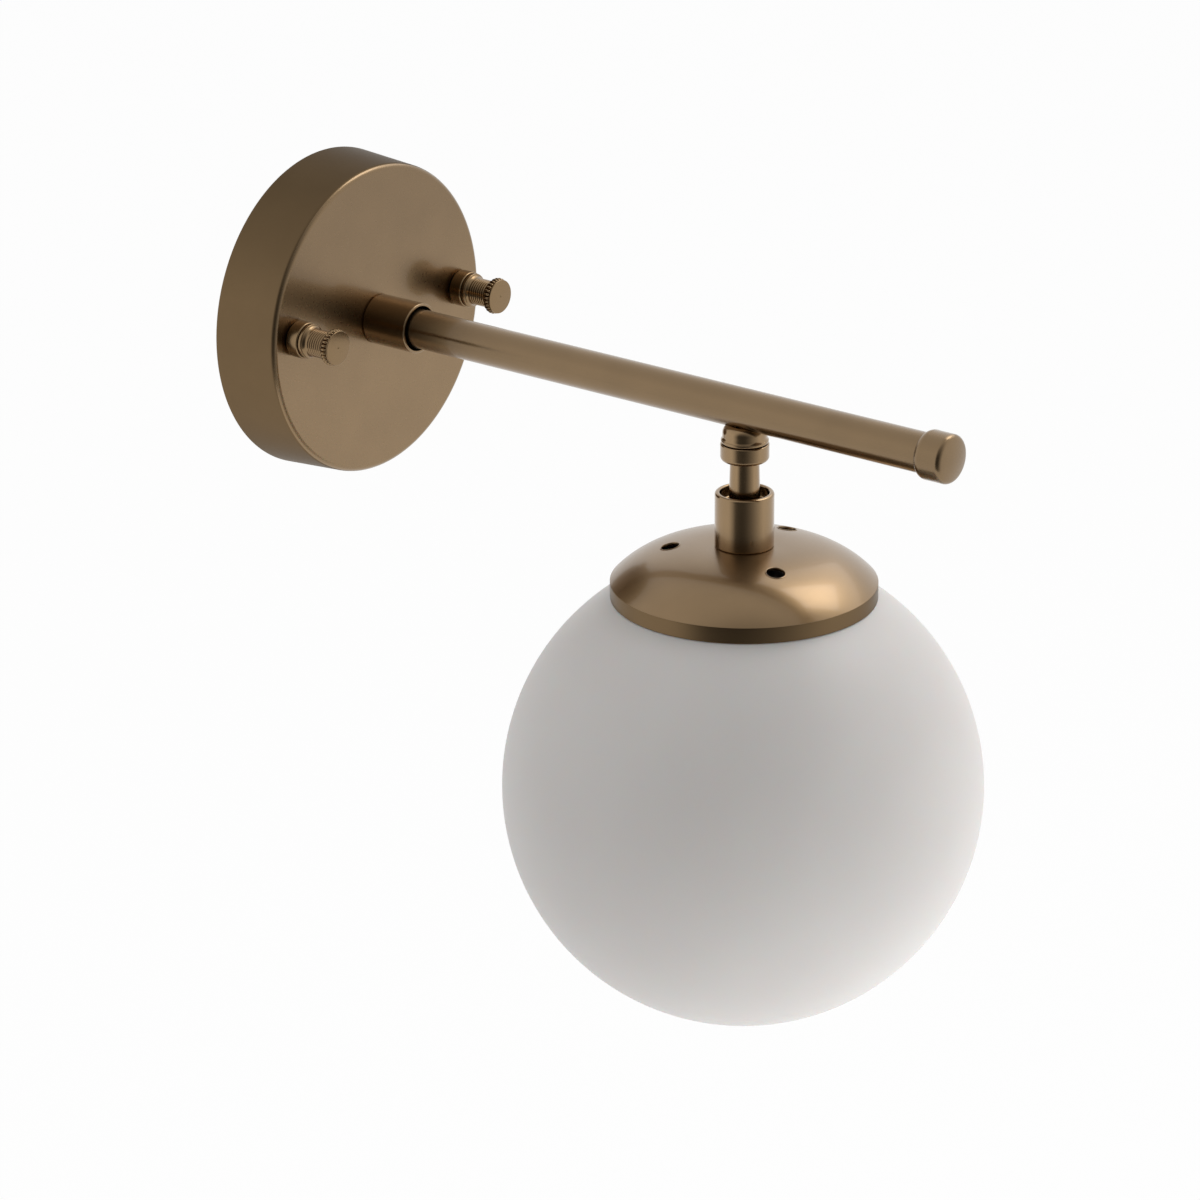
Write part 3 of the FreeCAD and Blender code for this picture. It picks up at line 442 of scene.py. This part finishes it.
BRASS_TUBE = satin_brass("brass_tube", 0.24, 0.78, "Y")
BRASS_NUT = satin_brass("brass_nut", 0.2, 0.84, coat=0.1)
BRASS_COLLAR = satin_brass("brass_collar", 0.18, 0.9, "Y")
# Painted shade darkens the pan's brass towards its top. The pan's side and the cap's rim take darker copies
# of the brass as painted shade
BRASS_PAN = satin_brass("brass_pan", 0.27, 0.93, shade_paint=face_painted_shade)
BRASS_PAN_SIDE_SHADED = satin_brass("brass_pan_side_shaded", 0.38, 0.61, shade_paint=side_painted_shade, coat=0, rim=0.6)
BRASS_CAP = satin_brass("brass_cap", 0.3, 0.88)
BRASS_RIM_SHADED = satin_brass("brass_rim_shaded", 0.3, 0.6, coat=0, rim=0.7)
MATERIALS = {
    "antique_brass": satin_brass("brass_turned", 0.17, turned="Z"),
    "plain_brass": plain_metal("turned_brass", rgb(200, 168, 104), 0.25),
    "zinc_steel": plain_metal("zinc_plate", rgb(186, 188, 190), 0.28),
    "green_steel": glazed("green_lacquer", rgb(34, 98, 54), 0.3),
    "spring_steel": plain_metal("spring_steel", rgb(150, 150, 152), 0.3),
    "porcelain": glazed("porcelain", rgb(232, 229, 222), 0.15),
    "opal_glass": opal_glass(),
    "frosted_glass": glazed("frosted_glass", rgb(236, 235, 232), 0.5),
    "nickel_base": plain_metal("nickel", rgb(190, 186, 178), 0.22),
    "black_glass": glazed("black_glass", rgb(28, 28, 32), 0.1),
    "solder": plain_metal("solder", rgb(176, 176, 180), 0.35),
}


# The pan on the wall

PAN_REAR_R = 52.4
PAN_FRONT_R = 50.8
PAN_SHEET = 1.2
PAN_EDGE_ROUND = 1.8
PAN_BACK_ROUND = 0.3
PAN_INNER_ROUND = 0.6
STUD_HOLE_R = 2.6
NIPPLE_HOLE_R = 5.1


def make_pan():
    """The round pan, open at the wall, with holes for the studs and the hollow thread."""
    back, front = reach("backplate")
    inside = front - PAN_SHEET
    pan = lathe("pan", soften([
        (0, front), (PAN_FRONT_R, front, PAN_EDGE_ROUND), (PAN_REAR_R, back, PAN_BACK_ROUND),
        (PAN_REAR_R - PAN_SHEET, back, PAN_BACK_ROUND), (PAN_FRONT_R - PAN_SHEET, inside, PAN_INNER_ROUND),
        (0, inside),
    ]), OUTWARD, segments=256)
    low, high = inside - CUT_PAST, front + CUT_PAST
    holes = [rod("nipple_hole", NIPPLE_HOLE_R, low, high, OUTWARD)]
    for side in SIDES:
        holes.append(rod("stud_hole", STUD_HOLE_R, low, high, out_from(f"stud_{side}")))
    cut_away(pan, *holes)
    dress(pan, "backplate", BRASS_PAN)
    # The pan's side takes a darker copy of its brass, as painted shade
    paint_upright(pan, BRASS_PAN_SIDE_SHADED, Vector((0, 1, 0)))


# The thumb nuts: the bore, the base and the ring are measured from the face that rests on the pan, and the
# head from the nut's own front

NUT_BORE_R = 2.14
NUT_BORE_LENGTH = 14.9
NUT_BASE_R = 5.95
NUT_BASE_LENGTH = 5.0
NUT_CHAMFER = 0.8
NUT_RING_R = 5.6
NUT_RING_END = 6.4
NUT_SLOT = 0.35
NUT_SLOT_DEPTH = 0.4
NUT_FLARE = 1.5
NUT_FLARE_INSET = 0.3
NUT_FLARE_R = 1.7
NUT_NECK_R = 4.45
NUT_HEAD_R = 6.0
NUT_HEAD_LENGTH = 2.9
NUT_HEAD_FLARE = 0.6
NUT_HEAD_FLARE_R = 1.2
NUT_HEAD_INSET = 0.4
NUT_GROOVES = 7
NUT_GROOVE_DEPTH = 0.15
NUT_GROOVE_HALF = 0.35
NUT_TEETH = 28
NUT_TOOTH_STEPS = 8
NUT_TOOTH_DEPTH = 0.85
NUT_KNURL_LENGTH = 2.2
NUT_BEAD_DROP = 0.5
NUT_LINE = 0.3
NUT_LINE_DEPTH = 0.3
NUT_BASE_ROUNDS = (0.2, 0.4)
NUT_RING_ROUNDS = (0.15, 0.25)
NUT_FACE_ROUNDS = (0.1, 0.2)
NUT_FACE_R = 5.6
NUT_PIP_R = 0.4
NUT_PIP_DEPTH = 0.3


def make_thumb_nut(side):
    """A turned nut with a ribbed neck and a beaded head, whose face has a small pip."""
    node = f"thumb_nut_{side}"
    seat, face = reach(node)
    step_foot = seat + NUT_BASE_LENGTH
    ring_end = seat + NUT_RING_END
    neck_foot = ring_end + NUT_FLARE
    head_foot = face - NUT_HEAD_LENGTH
    knurl_end = head_foot + NUT_KNURL_LENGTH
    bead_foot_r = NUT_HEAD_R - NUT_BEAD_DROP
    slot_r = NUT_RING_R - NUT_SLOT_DEPTH
    slot_end = step_foot + NUT_SLOT
    line_r = bead_foot_r - NUT_LINE_DEPTH
    line_end = knurl_end + NUT_LINE
    neck_top = head_foot - NUT_HEAD_FLARE
    pitch = (neck_top - neck_foot) / NUT_GROOVES
    half = pitch * NUT_GROOVE_HALF
    grooves = []
    for number in range(NUT_GROOVES):
        height = neck_foot + pitch * (number + 0.5)
        grooves += [(NUT_NECK_R, height - half), (NUT_NECK_R - NUT_GROOVE_DEPTH, height),
                    (NUT_NECK_R, height + half)]
    foot_flare = as_corners(bow(
        (NUT_RING_R - NUT_FLARE_INSET, ring_end), (NUT_NECK_R, neck_foot), -NUT_FLARE_R, steps=8
    ))
    head_flare = as_corners(bow(
        (NUT_NECK_R, neck_top), (bead_foot_r - NUT_HEAD_INSET, head_foot), -NUT_HEAD_FLARE_R, steps=6
    ))
    bead_r = (NUT_KNURL_LENGTH ** 2 / 4 + NUT_BEAD_DROP ** 2) / (2 * NUT_BEAD_DROP)
    beads = as_corners(bow((bead_foot_r, head_foot), (bead_foot_r, knurl_end), bead_r, steps=8))
    profile = soften([
        (NUT_BORE_R, seat), (NUT_BASE_R - NUT_CHAMFER, seat),
        (NUT_BASE_R, seat + NUT_CHAMFER, NUT_BASE_ROUNDS[0]), (NUT_BASE_R, step_foot, NUT_BASE_ROUNDS[1]),
        (slot_r, step_foot), (slot_r, slot_end), (NUT_RING_R, slot_end, NUT_RING_ROUNDS[0]),
        (NUT_RING_R, ring_end, NUT_RING_ROUNDS[1]), *foot_flare, *grooves, *head_flare, *beads,
        (line_r, knurl_end), (line_r, line_end), (NUT_FACE_R, line_end, NUT_FACE_ROUNDS[0]),
        (NUT_FACE_R, face, NUT_FACE_ROUNDS[1]), (NUT_PIP_R, face), (0, face - NUT_PIP_DEPTH),
        (0, seat + NUT_BORE_LENGTH), (NUT_BORE_R, seat + NUT_BORE_LENGTH),
    ])

    def knurl(radius, height, angle):
        """Round beads with a sharp valley between them."""
        if radius < bead_foot_r - NEAR or not head_foot - NEAR < height < knurl_end + NEAR:
            return 0
        across = (NUT_TEETH * angle / math.pi) % 2 - 1
        return -NUT_TOOTH_DEPTH * across ** 2

    nut = lathe(node + "_turned", profile, out_from(node), NUT_TEETH * NUT_TOOTH_STEPS, knurl)
    dress(nut, node, BRASS_NUT)


# The arm

COLLAR_BORE_R = 7.3
COLLAR_FLOOR = 1.2
COLLAR_CHAMFER = 0.5
COLLAR_FOOT_ROUND = 0.2
COLLAR_LIP_ROUND = 0.35
COLLAR_MOUTH_ROUND = 0.25
TUBE_R = 6.35
TUBE_BORE_R = 4.95
TUBE_ROUND = 0.2
SPIGOT_R = 4.2
END_CAP_LIP_R = 6.7
END_CAP_FLARE = 2.7
END_CAP_CROWN = 1.2
END_CAP_ROUND = 1.7
END_CAP_ROUNDED = 5


def make_collar():
    """The sleeve round the root of the arm, open in front."""
    foot, lip = reach("arm_collar")
    outer_r = radius_of("arm_collar")
    floor = foot + COLLAR_FLOOR
    collar = lathe("collar", soften([
        (NIPPLE_HOLE_R, foot), (outer_r - COLLAR_CHAMFER, foot),
        (outer_r, foot + COLLAR_CHAMFER, COLLAR_FOOT_ROUND), (outer_r, lip, COLLAR_LIP_ROUND),
        (COLLAR_BORE_R, lip, COLLAR_MOUTH_ROUND), (COLLAR_BORE_R, floor), (NIPPLE_HOLE_R, floor),
    ]), OUTWARD)
    dress(collar, "arm_collar", BRASS_COLLAR)


def make_tube():
    """The arm, with a hole under it for the swivel."""
    root, end = reach("arm_tube")
    tube = lathe("tube", soften([
        (TUBE_BORE_R, root), (TUBE_R, root, TUBE_ROUND), (TUBE_R, end, TUBE_ROUND), (TUBE_BORE_R, end),
    ]), OUTWARD, segments=160)
    cut_away(tube, rod("spigot_hole", SPIGOT_R + FIT, -TUBE_R * 1.5, 0, HANGING))
    dress(tube, "arm_tube", BRASS_TUBE)


def make_end_cap():
    """The cap on the arm's end. Its round edge takes the place of the crown's first points."""
    back, front = reach("arm_end_cap")
    outer_r = radius_of("arm_end_cap")
    edge = front - END_CAP_CROWN
    flare_end = back + END_CAP_FLARE
    inside = reach("arm_tube")[1]
    bore_r = TUBE_R + FIT
    crown_r = (outer_r ** 2 + END_CAP_CROWN ** 2) / (2 * END_CAP_CROWN)
    crown = bow((outer_r, edge), (0, front), crown_r, steps=24)
    profile = soften([
        (bore_r, back), *bow((END_CAP_LIP_R, back), (outer_r, flare_end), END_CAP_FLARE, steps=8),
        (outer_r, edge, END_CAP_ROUND), *crown[END_CAP_ROUNDED:], (0, inside), (bore_r, inside),
    ])
    dress(lathe("end_cap", profile, OUTWARD, segments=128), "arm_end_cap", BRASS_TUBE)


# The swivel: heights are from the arm's axis

SHANK_R = 2.9
SADDLE_R = 7.0
SADDLE_FOOT_R = 7.35
SADDLE_TOP = -5.0
SADDLE_TOP_ROUND = 2.6
SADDLE_FLARE = 0.9
SADDLE_FLARE_R = 1.4
SADDLE_FIT = 0.01
SADDLE_LIP = 0.05
WIRE_BORE_R = 1.8
STEM_TOP_R = 4.55
STEM_FOOT_R = 4.9
STEM_NECK_R = 3.1
STEM_NECK_LENGTH = 5.8
BALL_R = 6.0
SEAT_R = 6.05
CUP_MOUTH_R = 7.7
CUP_WEB_RISE = 4.7
CUP_WEB_R = 4.5
PLUG_R = 7.0
PLUG_THICK = 2.6
CLIP_GROOVE = 0.5
WASHER_FOOT_ROUND = 0.5
WASHER_TOP_ROUND = 0.35
RING_FOOT_ROUND = 1.5
RING_TOP_ROUND = 0.45
STEM_FOOT_ROUND = 0.4
STEM_TOP_ROUND = 0.2
CUP_FOOT_ROUND = 0.5
CUP_LIP_ROUND = 0.9
CUP_MOUTH_ROUND = 0.5
CUP_WEB_ROUND = 0.6


def ball_height():
    """The height of the ball's centre, from its lowest edge, where the wires' bore cuts it."""
    return rise("swivel_stem")[0] + math.sqrt(BALL_R ** 2 - WIRE_BORE_R ** 2)


def make_saddle():
    """The drum under the arm, cut to the round of the tube."""
    foot = rise("swivel_saddle")[0]
    bore_r = SHANK_R + FIT
    drum = lathe("saddle", soften([
        (bore_r, foot), (SADDLE_FOOT_R, foot),
        *as_corners(bow(
            (SADDLE_FOOT_R, foot + SADDLE_LIP), (SADDLE_R, foot + SADDLE_FLARE), -SADDLE_FLARE_R, steps=6
        )),
        (SADDLE_R, SADDLE_TOP, SADDLE_TOP_ROUND), (bore_r, SADDLE_TOP),
    ]), HANGING, segments=128)
    arm_start, arm_end = reach("arm_tube")
    cut_away(drum, rod("arm_space", TUBE_R + SADDLE_FIT, arm_start, arm_end, OUTWARD, segments=160))
    dress(drum, "swivel_saddle")


def make_rings():
    """The thin washer under the saddle and the rounded ring under it."""
    bore_r = SHANK_R + FIT
    foot, top = rise("swivel_washer")
    washer_r = radius_of("swivel_washer")
    washer = lathe("swivel_washer_turned", soften([
        (bore_r, foot), (washer_r, foot, WASHER_FOOT_ROUND), (washer_r, top, WASHER_TOP_ROUND),
        (bore_r, top),
    ]), HANGING)
    dress(washer, "swivel_washer")
    foot, top = rise("swivel_ring")
    ring_r = radius_of("swivel_ring")
    ring = lathe("swivel_ring_turned", soften([
        (bore_r, foot), (ring_r, foot, RING_FOOT_ROUND), (ring_r, top, RING_TOP_ROUND), (bore_r, top),
    ]), HANGING)
    dress(ring, "swivel_ring")


def make_stem():
    """The stem with its ball, and the shank that a clip holds inside the arm."""
    ball_low, top = rise("swivel_stem")
    ball_z = ball_height()
    stem_foot = ball_z + STEM_NECK_LENGTH
    stem_top = rise("swivel_ring")[0]
    clip_low, clip_high = rise("stem_clip")
    meets = ball_z + math.sqrt(BALL_R ** 2 - STEM_NECK_R ** 2)
    stem = lathe("stem", soften([
        (WIRE_BORE_R, top), *bow((WIRE_BORE_R, ball_low), (BALL_R, ball_z), BALL_R, steps=16),
        *bow((BALL_R, ball_z), (STEM_NECK_R, meets), BALL_R, steps=16)[1:], (STEM_NECK_R, stem_foot),
        (STEM_FOOT_R, stem_foot, STEM_FOOT_ROUND), (STEM_TOP_R, stem_top, STEM_TOP_ROUND),
        (SHANK_R, stem_top), (SHANK_R, clip_low), (SHANK_R - CLIP_GROOVE, clip_low),
        (SHANK_R - CLIP_GROOVE, clip_high), (SHANK_R, clip_high), (SHANK_R, top),
    ]), HANGING)
    dress(stem, "swivel_stem")


def make_cup():
    """The open cup, with the ball's seat under the web in it."""
    foot, lip = rise("swivel_cup")
    outer_r = radius_of("swivel_cup")
    ball_z = ball_height()
    web_top = ball_z + CUP_WEB_RISE
    seat_top = ball_z + math.sqrt(SEAT_R ** 2 - CUP_WEB_R ** 2)
    plug_top = foot + PLUG_THICK
    cup = lathe("cup", soften([
        (PLUG_R, foot), (outer_r, foot, CUP_FOOT_ROUND), (outer_r, lip, CUP_LIP_ROUND),
        (CUP_MOUTH_R, lip, CUP_MOUTH_ROUND), (CUP_MOUTH_R, web_top, CUP_WEB_ROUND), (CUP_WEB_R, web_top),
        *bow((CUP_WEB_R, seat_top), (SEAT_R, ball_z), -SEAT_R, steps=16), (SEAT_R, plug_top),
        (PLUG_R, plug_top),
    ]), HANGING, segments=128)
    dress(cup, "swivel_cup")


# The spun cap and the globe

CAP_SHEET = 0.8
CAP_FLAT_R = 10.0
CAP_CROWN_R = 60.0
CAP_MEET_R = 25.5
CAP_SHOULDER_R = 35.0
CAP_DROP = 11.8
CAP_FOOT_DROP = 0.45
CAP_EDGE_INSET = 0.15
CAP_EDGE_HIGH = 0.12
CAP_EDGE_LOW = 0.4
CAP_INNER_DROP = 0.6
CAP_FOOT_ROUND = 0.3
VENT_R = 3.0
VENT_CIRCLE_R = 23.2
VENT_PHASE = 1.5
VENT_COUNT = 3

# The rolled edge round a vent, as radius and height over the dome
VENT_EDGE = [
    (VENT_R - 0.12, -0.6), (VENT_R - 0.12, -0.1), (VENT_R - 0.03, 0.06), (VENT_R + 0.12, 0.1),
    (VENT_R + 0.3, 0.03), (VENT_R + 0.3, -0.6),
]


def dome_sides(top, outer_r, rim):
    """The dome's outside from its flat top to its rim, and its inside back again, a sheet lower."""
    crown_rise = math.sqrt(CAP_CROWN_R ** 2 - (CAP_MEET_R - CAP_FLAT_R) ** 2)
    meet = (CAP_MEET_R, top - CAP_CROWN_R + crown_rise)
    outside = [
        *bow((CAP_FLAT_R, top), meet, -CAP_CROWN_R, steps=16),
        *bow(meet, (outer_r, rim), -CAP_SHOULDER_R, steps=32)[1:],
    ]
    inside = []
    for index in range(len(outside) - 1, 0, -1):
        run = outside[index] - outside[index - 1]
        inside.append(outside[index] + Vector((run.y, -run.x)).normalized() * CAP_SHEET)
    return outside, inside


def make_vents(top, rim):
    """The rolled edges of the vents, and the rods that cut the vents out."""
    slope = math.asin((VENT_CIRCLE_R - CAP_FLAT_R) / CAP_CROWN_R)
    vent_z = top - CAP_CROWN_R * (1 - math.cos(slope))
    vents = []
    for number in range(VENT_COUNT):
        turn = Matrix.Rotation(math.radians(VENT_PHASE + 360 / VENT_COUNT * number), 4, "Z")
        place = HANGING @ turn @ Matrix.Translation((VENT_CIRCLE_R * MM, 0, 0))
        vents.append(rod("vent", VENT_R, rim, top + CUT_PAST, place))
        on_dome = place @ Matrix.Translation((0, 0, vent_z * MM)) @ Matrix.Rotation(slope, 4, "Y")
        edge = lathe(f"vent_edge_{number + 1}", VENT_EDGE, on_dome, segments=64)
        smooth(edge)
        paint(edge, BRASS_CAP)
        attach(edge, NODES["shade_cap"]["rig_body"])
    return vents


def make_shade_cap():
    """The spun dome with its upright rim and its punched vents."""
    foot, top = rise("shade_cap")
    foot -= CAP_FOOT_DROP
    outer_r = radius_of("shade_cap")
    inner_r = outer_r - CAP_SHEET
    rim = top - CAP_DROP
    outside, inside = dome_sides(top, outer_r, rim)
    cap = lathe("cap", soften([
        (NIPPLE_HOLE_R, top), *outside, (outer_r - CAP_EDGE_INSET, rim - CAP_EDGE_HIGH),
        (outer_r, rim - CAP_EDGE_LOW), (outer_r, foot, CAP_FOOT_ROUND), (inner_r, foot, CAP_FOOT_ROUND),
        (inner_r, rim - CAP_INNER_DROP), *as_corners(inside[1:]),
        (CAP_FLAT_R, top - CAP_SHEET), (NIPPLE_HOLE_R, top - CAP_SHEET),
    ]), HANGING, segments=256)
    cut_away(cap, *make_vents(top, rim))
    dress(cap, "shade_cap", BRASS_CAP)
    # The cap's upright rim takes a darker copy of its brass, as painted shade
    paint_upright(cap, BRASS_RIM_SHADED, Vector((0, 0, 1)))


GLOBE_WALL = 3.0
GLOBE_NECK_R = 37.0
GLOBE_NECK_ROUND = 0.9


def make_globe():
    """The glass ball with the short neck that stands in the cap."""
    low, neck_top = rise("globe")
    radius = radius_of("globe")
    centre = low + radius
    inner = radius - GLOBE_WALL
    bore_r = GLOBE_NECK_R - GLOBE_WALL
    shoulder = centre + math.sqrt(radius ** 2 - GLOBE_NECK_R ** 2)
    inner_shoulder = centre + math.sqrt(inner ** 2 - bore_r ** 2)
    globe = lathe("globe_glass", soften([
        (bore_r, neck_top, GLOBE_NECK_ROUND), (GLOBE_NECK_R, neck_top, GLOBE_NECK_ROUND),
        *bow((GLOBE_NECK_R, shoulder), (radius, centre), -radius, steps=32),
        *bow((radius, centre), (0, low), -radius, steps=64)[1:],
        *bow((0, centre - inner), (inner, centre), inner, steps=48),
        *bow((inner, centre), (bore_r, inner_shoulder), inner, steps=24)[1:],
    ]), HANGING, segments=192)
    dress(globe, "globe")


# Threads and what is seen from behind or with the globe down

STUD_PITCH = 0.7
NIPPLE_PITCH = 1.0
BULB_PITCH = 3.6
STUD_THREAD = 0.25
NIPPLE_THREAD = 0.35
BULB_THREAD = 0.8
THREAD_RINGS = 6
NIPPLE_BORE_R = 3.5
BULB_TAPER = 2.0
BULB_TOP_R = 9.5
BULB_TOP_SHEET = 0.5
BULB_SHELL = 1.4
BULB_RINGS = 60


def thread_profile(radius, bore_r, low, high, pitch):
    """A rod or a pipe whose side has enough rings for a thread."""
    rings = round((high - low) / pitch * THREAD_RINGS)
    side = [(radius, low + (high - low) * step / rings) for step in range(rings + 1)]
    return [(bore_r, high), (bore_r, low), *side]


def thread_of(radius, depth, pitch):
    """What a thread takes off the radius of a side, which winds round it by one pitch a turn."""
    def thread(at_radius, height, angle):
        """Up to the full depth off the side, and nothing off points at any other radius."""
        if abs(at_radius - radius) > TINY:
            return 0
        return -depth * (0.5 + 0.5 * math.cos(2 * math.pi * height / pitch - angle))
    return thread


def make_studs():
    """The two threaded studs that the thumb nuts run on."""
    for side in SIDES:
        node = f"stud_{side}"
        low, high = reach(node)
        radius = radius_of(node)
        profile = thread_profile(radius, 0, low, high, STUD_PITCH)
        thread = thread_of(radius, STUD_THREAD, STUD_PITCH)
        stud = lathe(node + "_threaded", profile, out_from(node), segments=24, ripple=thread)
        dress(stud, node)


def make_nipple():
    """The hollow thread that holds the arm in the pan."""
    low, high = reach("arm_nipple")
    radius = radius_of("arm_nipple")
    profile = thread_profile(radius, NIPPLE_BORE_R, low, high, NIPPLE_PITCH)
    thread = thread_of(radius, NIPPLE_THREAD, NIPPLE_PITCH)
    nipple = lathe("nipple", profile, OUTWARD, segments=48, ripple=thread)
    dress(nipple, "arm_nipple")


def make_bulb_base():
    """The bulb's rolled screw base."""
    low, high = rise("bulb_base")
    radius = radius_of("bulb_base")
    inner_r = radius - BULB_SHELL
    full = high - BULB_TAPER
    side = [(radius, low + (full - low) * step / BULB_RINGS) for step in range(BULB_RINGS + 1)]
    profile = [
        (BULB_TOP_R - BULB_TOP_SHEET, high), (inner_r, full), (inner_r, low), *side, (BULB_TOP_R, high),
    ]
    thread = thread_of(radius, BULB_THREAD, BULB_PITCH)
    base = lathe("bulb_base_rolled", profile, HANGING, segments=64, ripple=thread)
    dress(base, "bulb_base")


def paint_nodes():
    """Give every CAD node the finish of its slot."""
    for node, slot in SLOTS.items():
        paint(NODES[node], MATERIALS[slot])


paint_nodes()
make_pan()
for side in SIDES:
    make_thumb_nut(side)
make_collar()
make_tube()
make_end_cap()
make_saddle()
make_rings()
make_stem()
make_cup()
make_shade_cap()
make_globe()
make_studs()
make_nipple()
make_bulb_base()


# The studio

CAMERA_AZIMUTH = -51.50
CAMERA_ELEVATION = 20.85
CAMERA_ROLL = -0.25
CAMERA_PLACE = (-1.24537, -1.10537, 0.52960)
CAMERA_SENSOR = 36
CAMERA_LENS = 159.885
CAMERA_REACH = 50


def make_camera():
    """The photograph's viewpoint, found from the globe, the pan's rims and the arm."""
    azimuth = math.radians(CAMERA_AZIMUTH)
    elevation = math.radians(CAMERA_ELEVATION)
    roll = math.radians(CAMERA_ROLL)
    right = Vector((math.cos(azimuth), math.sin(azimuth), 0))
    level_share = math.cos(elevation)
    back = Vector((
        math.sin(azimuth) * level_share, -math.cos(azimuth) * level_share, math.sin(elevation)
    ))
    level = Matrix((right, back.cross(right), back)).transposed()
    data = bpy.data.cameras.new("camera")
    data.sensor_width = CAMERA_SENSOR
    data.lens = CAMERA_LENS
    data.clip_end = CAMERA_REACH
    camera = bpy.data.objects.new("camera", data)
    turn = (level @ Matrix.Rotation(roll, 3, "Z")).to_4x4()
    camera.matrix_world = Matrix.Translation(CAMERA_PLACE) @ turn
    bpy.context.scene.collection.objects.link(camera)
    bpy.context.scene.camera = camera


FLOOR_Z = -0.62
FLOOR_R = 3.2
FLOOR_DEEP = grey(0.86)
FLOOR_PALE = grey(0.88)
FLOOR_SHARE = 0.94
UNDER = Vector((0, -0.12, 0))
BEHIND = Vector((0.78, 0.62, 0)) * 2.4
LIT_POINT = UNDER + Vector((0, 0, -0.05))


def make_floor():
    """A round white floor under and behind the object that shows white and keeps a soft shadow."""
    bm = bmesh.new()
    bmesh.ops.create_circle(bm, cap_ends=True, segments=96, radius=FLOOR_R / MM)
    floor = new_piece("floor", bm, Matrix.Translation(UNDER + BEHIND + Vector((0, 0, FLOOR_Z))))
    shader = Shader("pale_floor")
    grain = shader.noise(40)
    shader.join(shader.blend(grain, FLOOR_DEEP, FLOOR_PALE), shader.main.inputs["Base Color"])
    shader.set(Roughness=0.8)
    glow = shader.add("ShaderNodeEmission")
    path = shader.add("ShaderNodeLightPath")
    seen = path.outputs["Is Camera Ray"]
    for ray in ("Is Glossy Ray", "Is Transmission Ray"):
        either = shader.add("ShaderNodeMath", operation="MAXIMUM")
        shader.join(seen, either.inputs[0])
        shader.join(path.outputs[ray], either.inputs[1])
        seen = either.outputs["Value"]
    share = shader.add("ShaderNodeMath", operation="MULTIPLY")
    share.inputs[1].default_value = FLOOR_SHARE
    shader.join(seen, share.inputs[0])
    mix = shader.add("ShaderNodeMixShader")
    shader.join(share.outputs["Value"], mix.inputs["Fac"])
    shader.join(shader.main.outputs["BSDF"], mix.inputs[1])
    shader.join(glow.outputs["Emission"], mix.inputs[2])
    shader.join(mix.outputs["Shader"], shader.output.inputs["Surface"])
    paint(floor, shader.material)


DIM_LEVEL = 0.08
DIM_SIDE = Vector((-0.906, -0.423, 0))
DIM_REACH = (0.0, 0.95)
DIM_EDGE_SIDE = Vector((-0.342, -0.94, 0))
DIM_EDGE_REACH = (-0.1, 0.35)
TOP_LEVEL = 0.8
TOP_REACH = (0.4, 0.95)


def make_world():
    """White all round, with the unlit part of the studio on the camera's left."""
    world = bpy.data.worlds.new("studio")
    bpy.context.scene.world = world
    world.use_nodes = True
    tree = world.node_tree
    tree.nodes.clear()
    where = tree.nodes.new("ShaderNodeTexCoord")

    def towards(side, reach_of_it):
        """How far a direction points to a side, from 0 to 1 over a reach of the cosine."""
        cosine = tree.nodes.new("ShaderNodeVectorMath")
        cosine.operation = "DOT_PRODUCT"
        cosine.inputs[1].default_value = side
        tree.links.new(where.outputs["Generated"], cosine.inputs[0])
        share = tree.nodes.new("ShaderNodeMapRange")
        share.inputs["From Min"].default_value, share.inputs["From Max"].default_value = reach_of_it
        tree.links.new(cosine.outputs["Value"], share.inputs["Value"])
        return share.outputs["Result"]

    def product(first, second):
        """Two numbers multiplied."""
        node = tree.nodes.new("ShaderNodeMath")
        node.operation = "MULTIPLY"
        tree.links.new(first, node.inputs[0])
        tree.links.new(second, node.inputs[1])
        return node.outputs["Value"]

    def down_to(lowest, share):
        """White that falls to its lowest level as the share rises to 1."""
        node = tree.nodes.new("ShaderNodeMapRange")
        node.inputs["To Min"].default_value = 1.0
        node.inputs["To Max"].default_value = lowest
        tree.links.new(share, node.inputs["Value"])
        return node.outputs["Result"]

    dim = product(towards(DIM_SIDE, DIM_REACH), towards(DIM_EDGE_SIDE, DIM_EDGE_REACH))
    top = towards(Vector((0, 0, 1)), TOP_REACH)
    room = tree.nodes.new("ShaderNodeBackground")
    room.inputs["Strength"].default_value = 1.0
    tree.links.new(product(down_to(DIM_LEVEL, dim), down_to(TOP_LEVEL, top)), room.inputs["Color"])
    output = tree.nodes.new("ShaderNodeOutputWorld")
    tree.links.new(room.outputs["Background"], output.inputs["Surface"])


def soft_light(name, direction, distance, size, level, mirrored=True):
    """A square lamp in this direction from the object. level is its brightness, where white is 1."""
    data = bpy.data.lights.new(name, "AREA")
    data.size = size
    data.energy = level * math.pi * size ** 2
    light = bpy.data.objects.new(name, data)
    away = Vector(direction).normalized()
    light.location = LIT_POINT + away * distance
    light.rotation_euler = away.to_track_quat("Z", "Y").to_euler()
    light.visible_camera = False
    light.visible_glossy = mirrored
    bpy.context.scene.collection.objects.link(light)


make_camera()
make_floor()
make_world()
soft_light("light_key", (0.55, -0.24, 0.80), 1.3, 0.58, 2.4)
soft_light("light_wash", (0.64, -0.10, 0.74), 1.4, 1.2, 0.9)
soft_light("light_bounce", (0.42, -0.36, -0.83), 0.5, 0.9, 1.05, mirrored=False)
soft_light("light_front", (-0.605, -0.734, -0.309), 1.0, 0.9, 1.0, mirrored=False)

bpy.context.scene.view_settings.view_transform = "Standard"
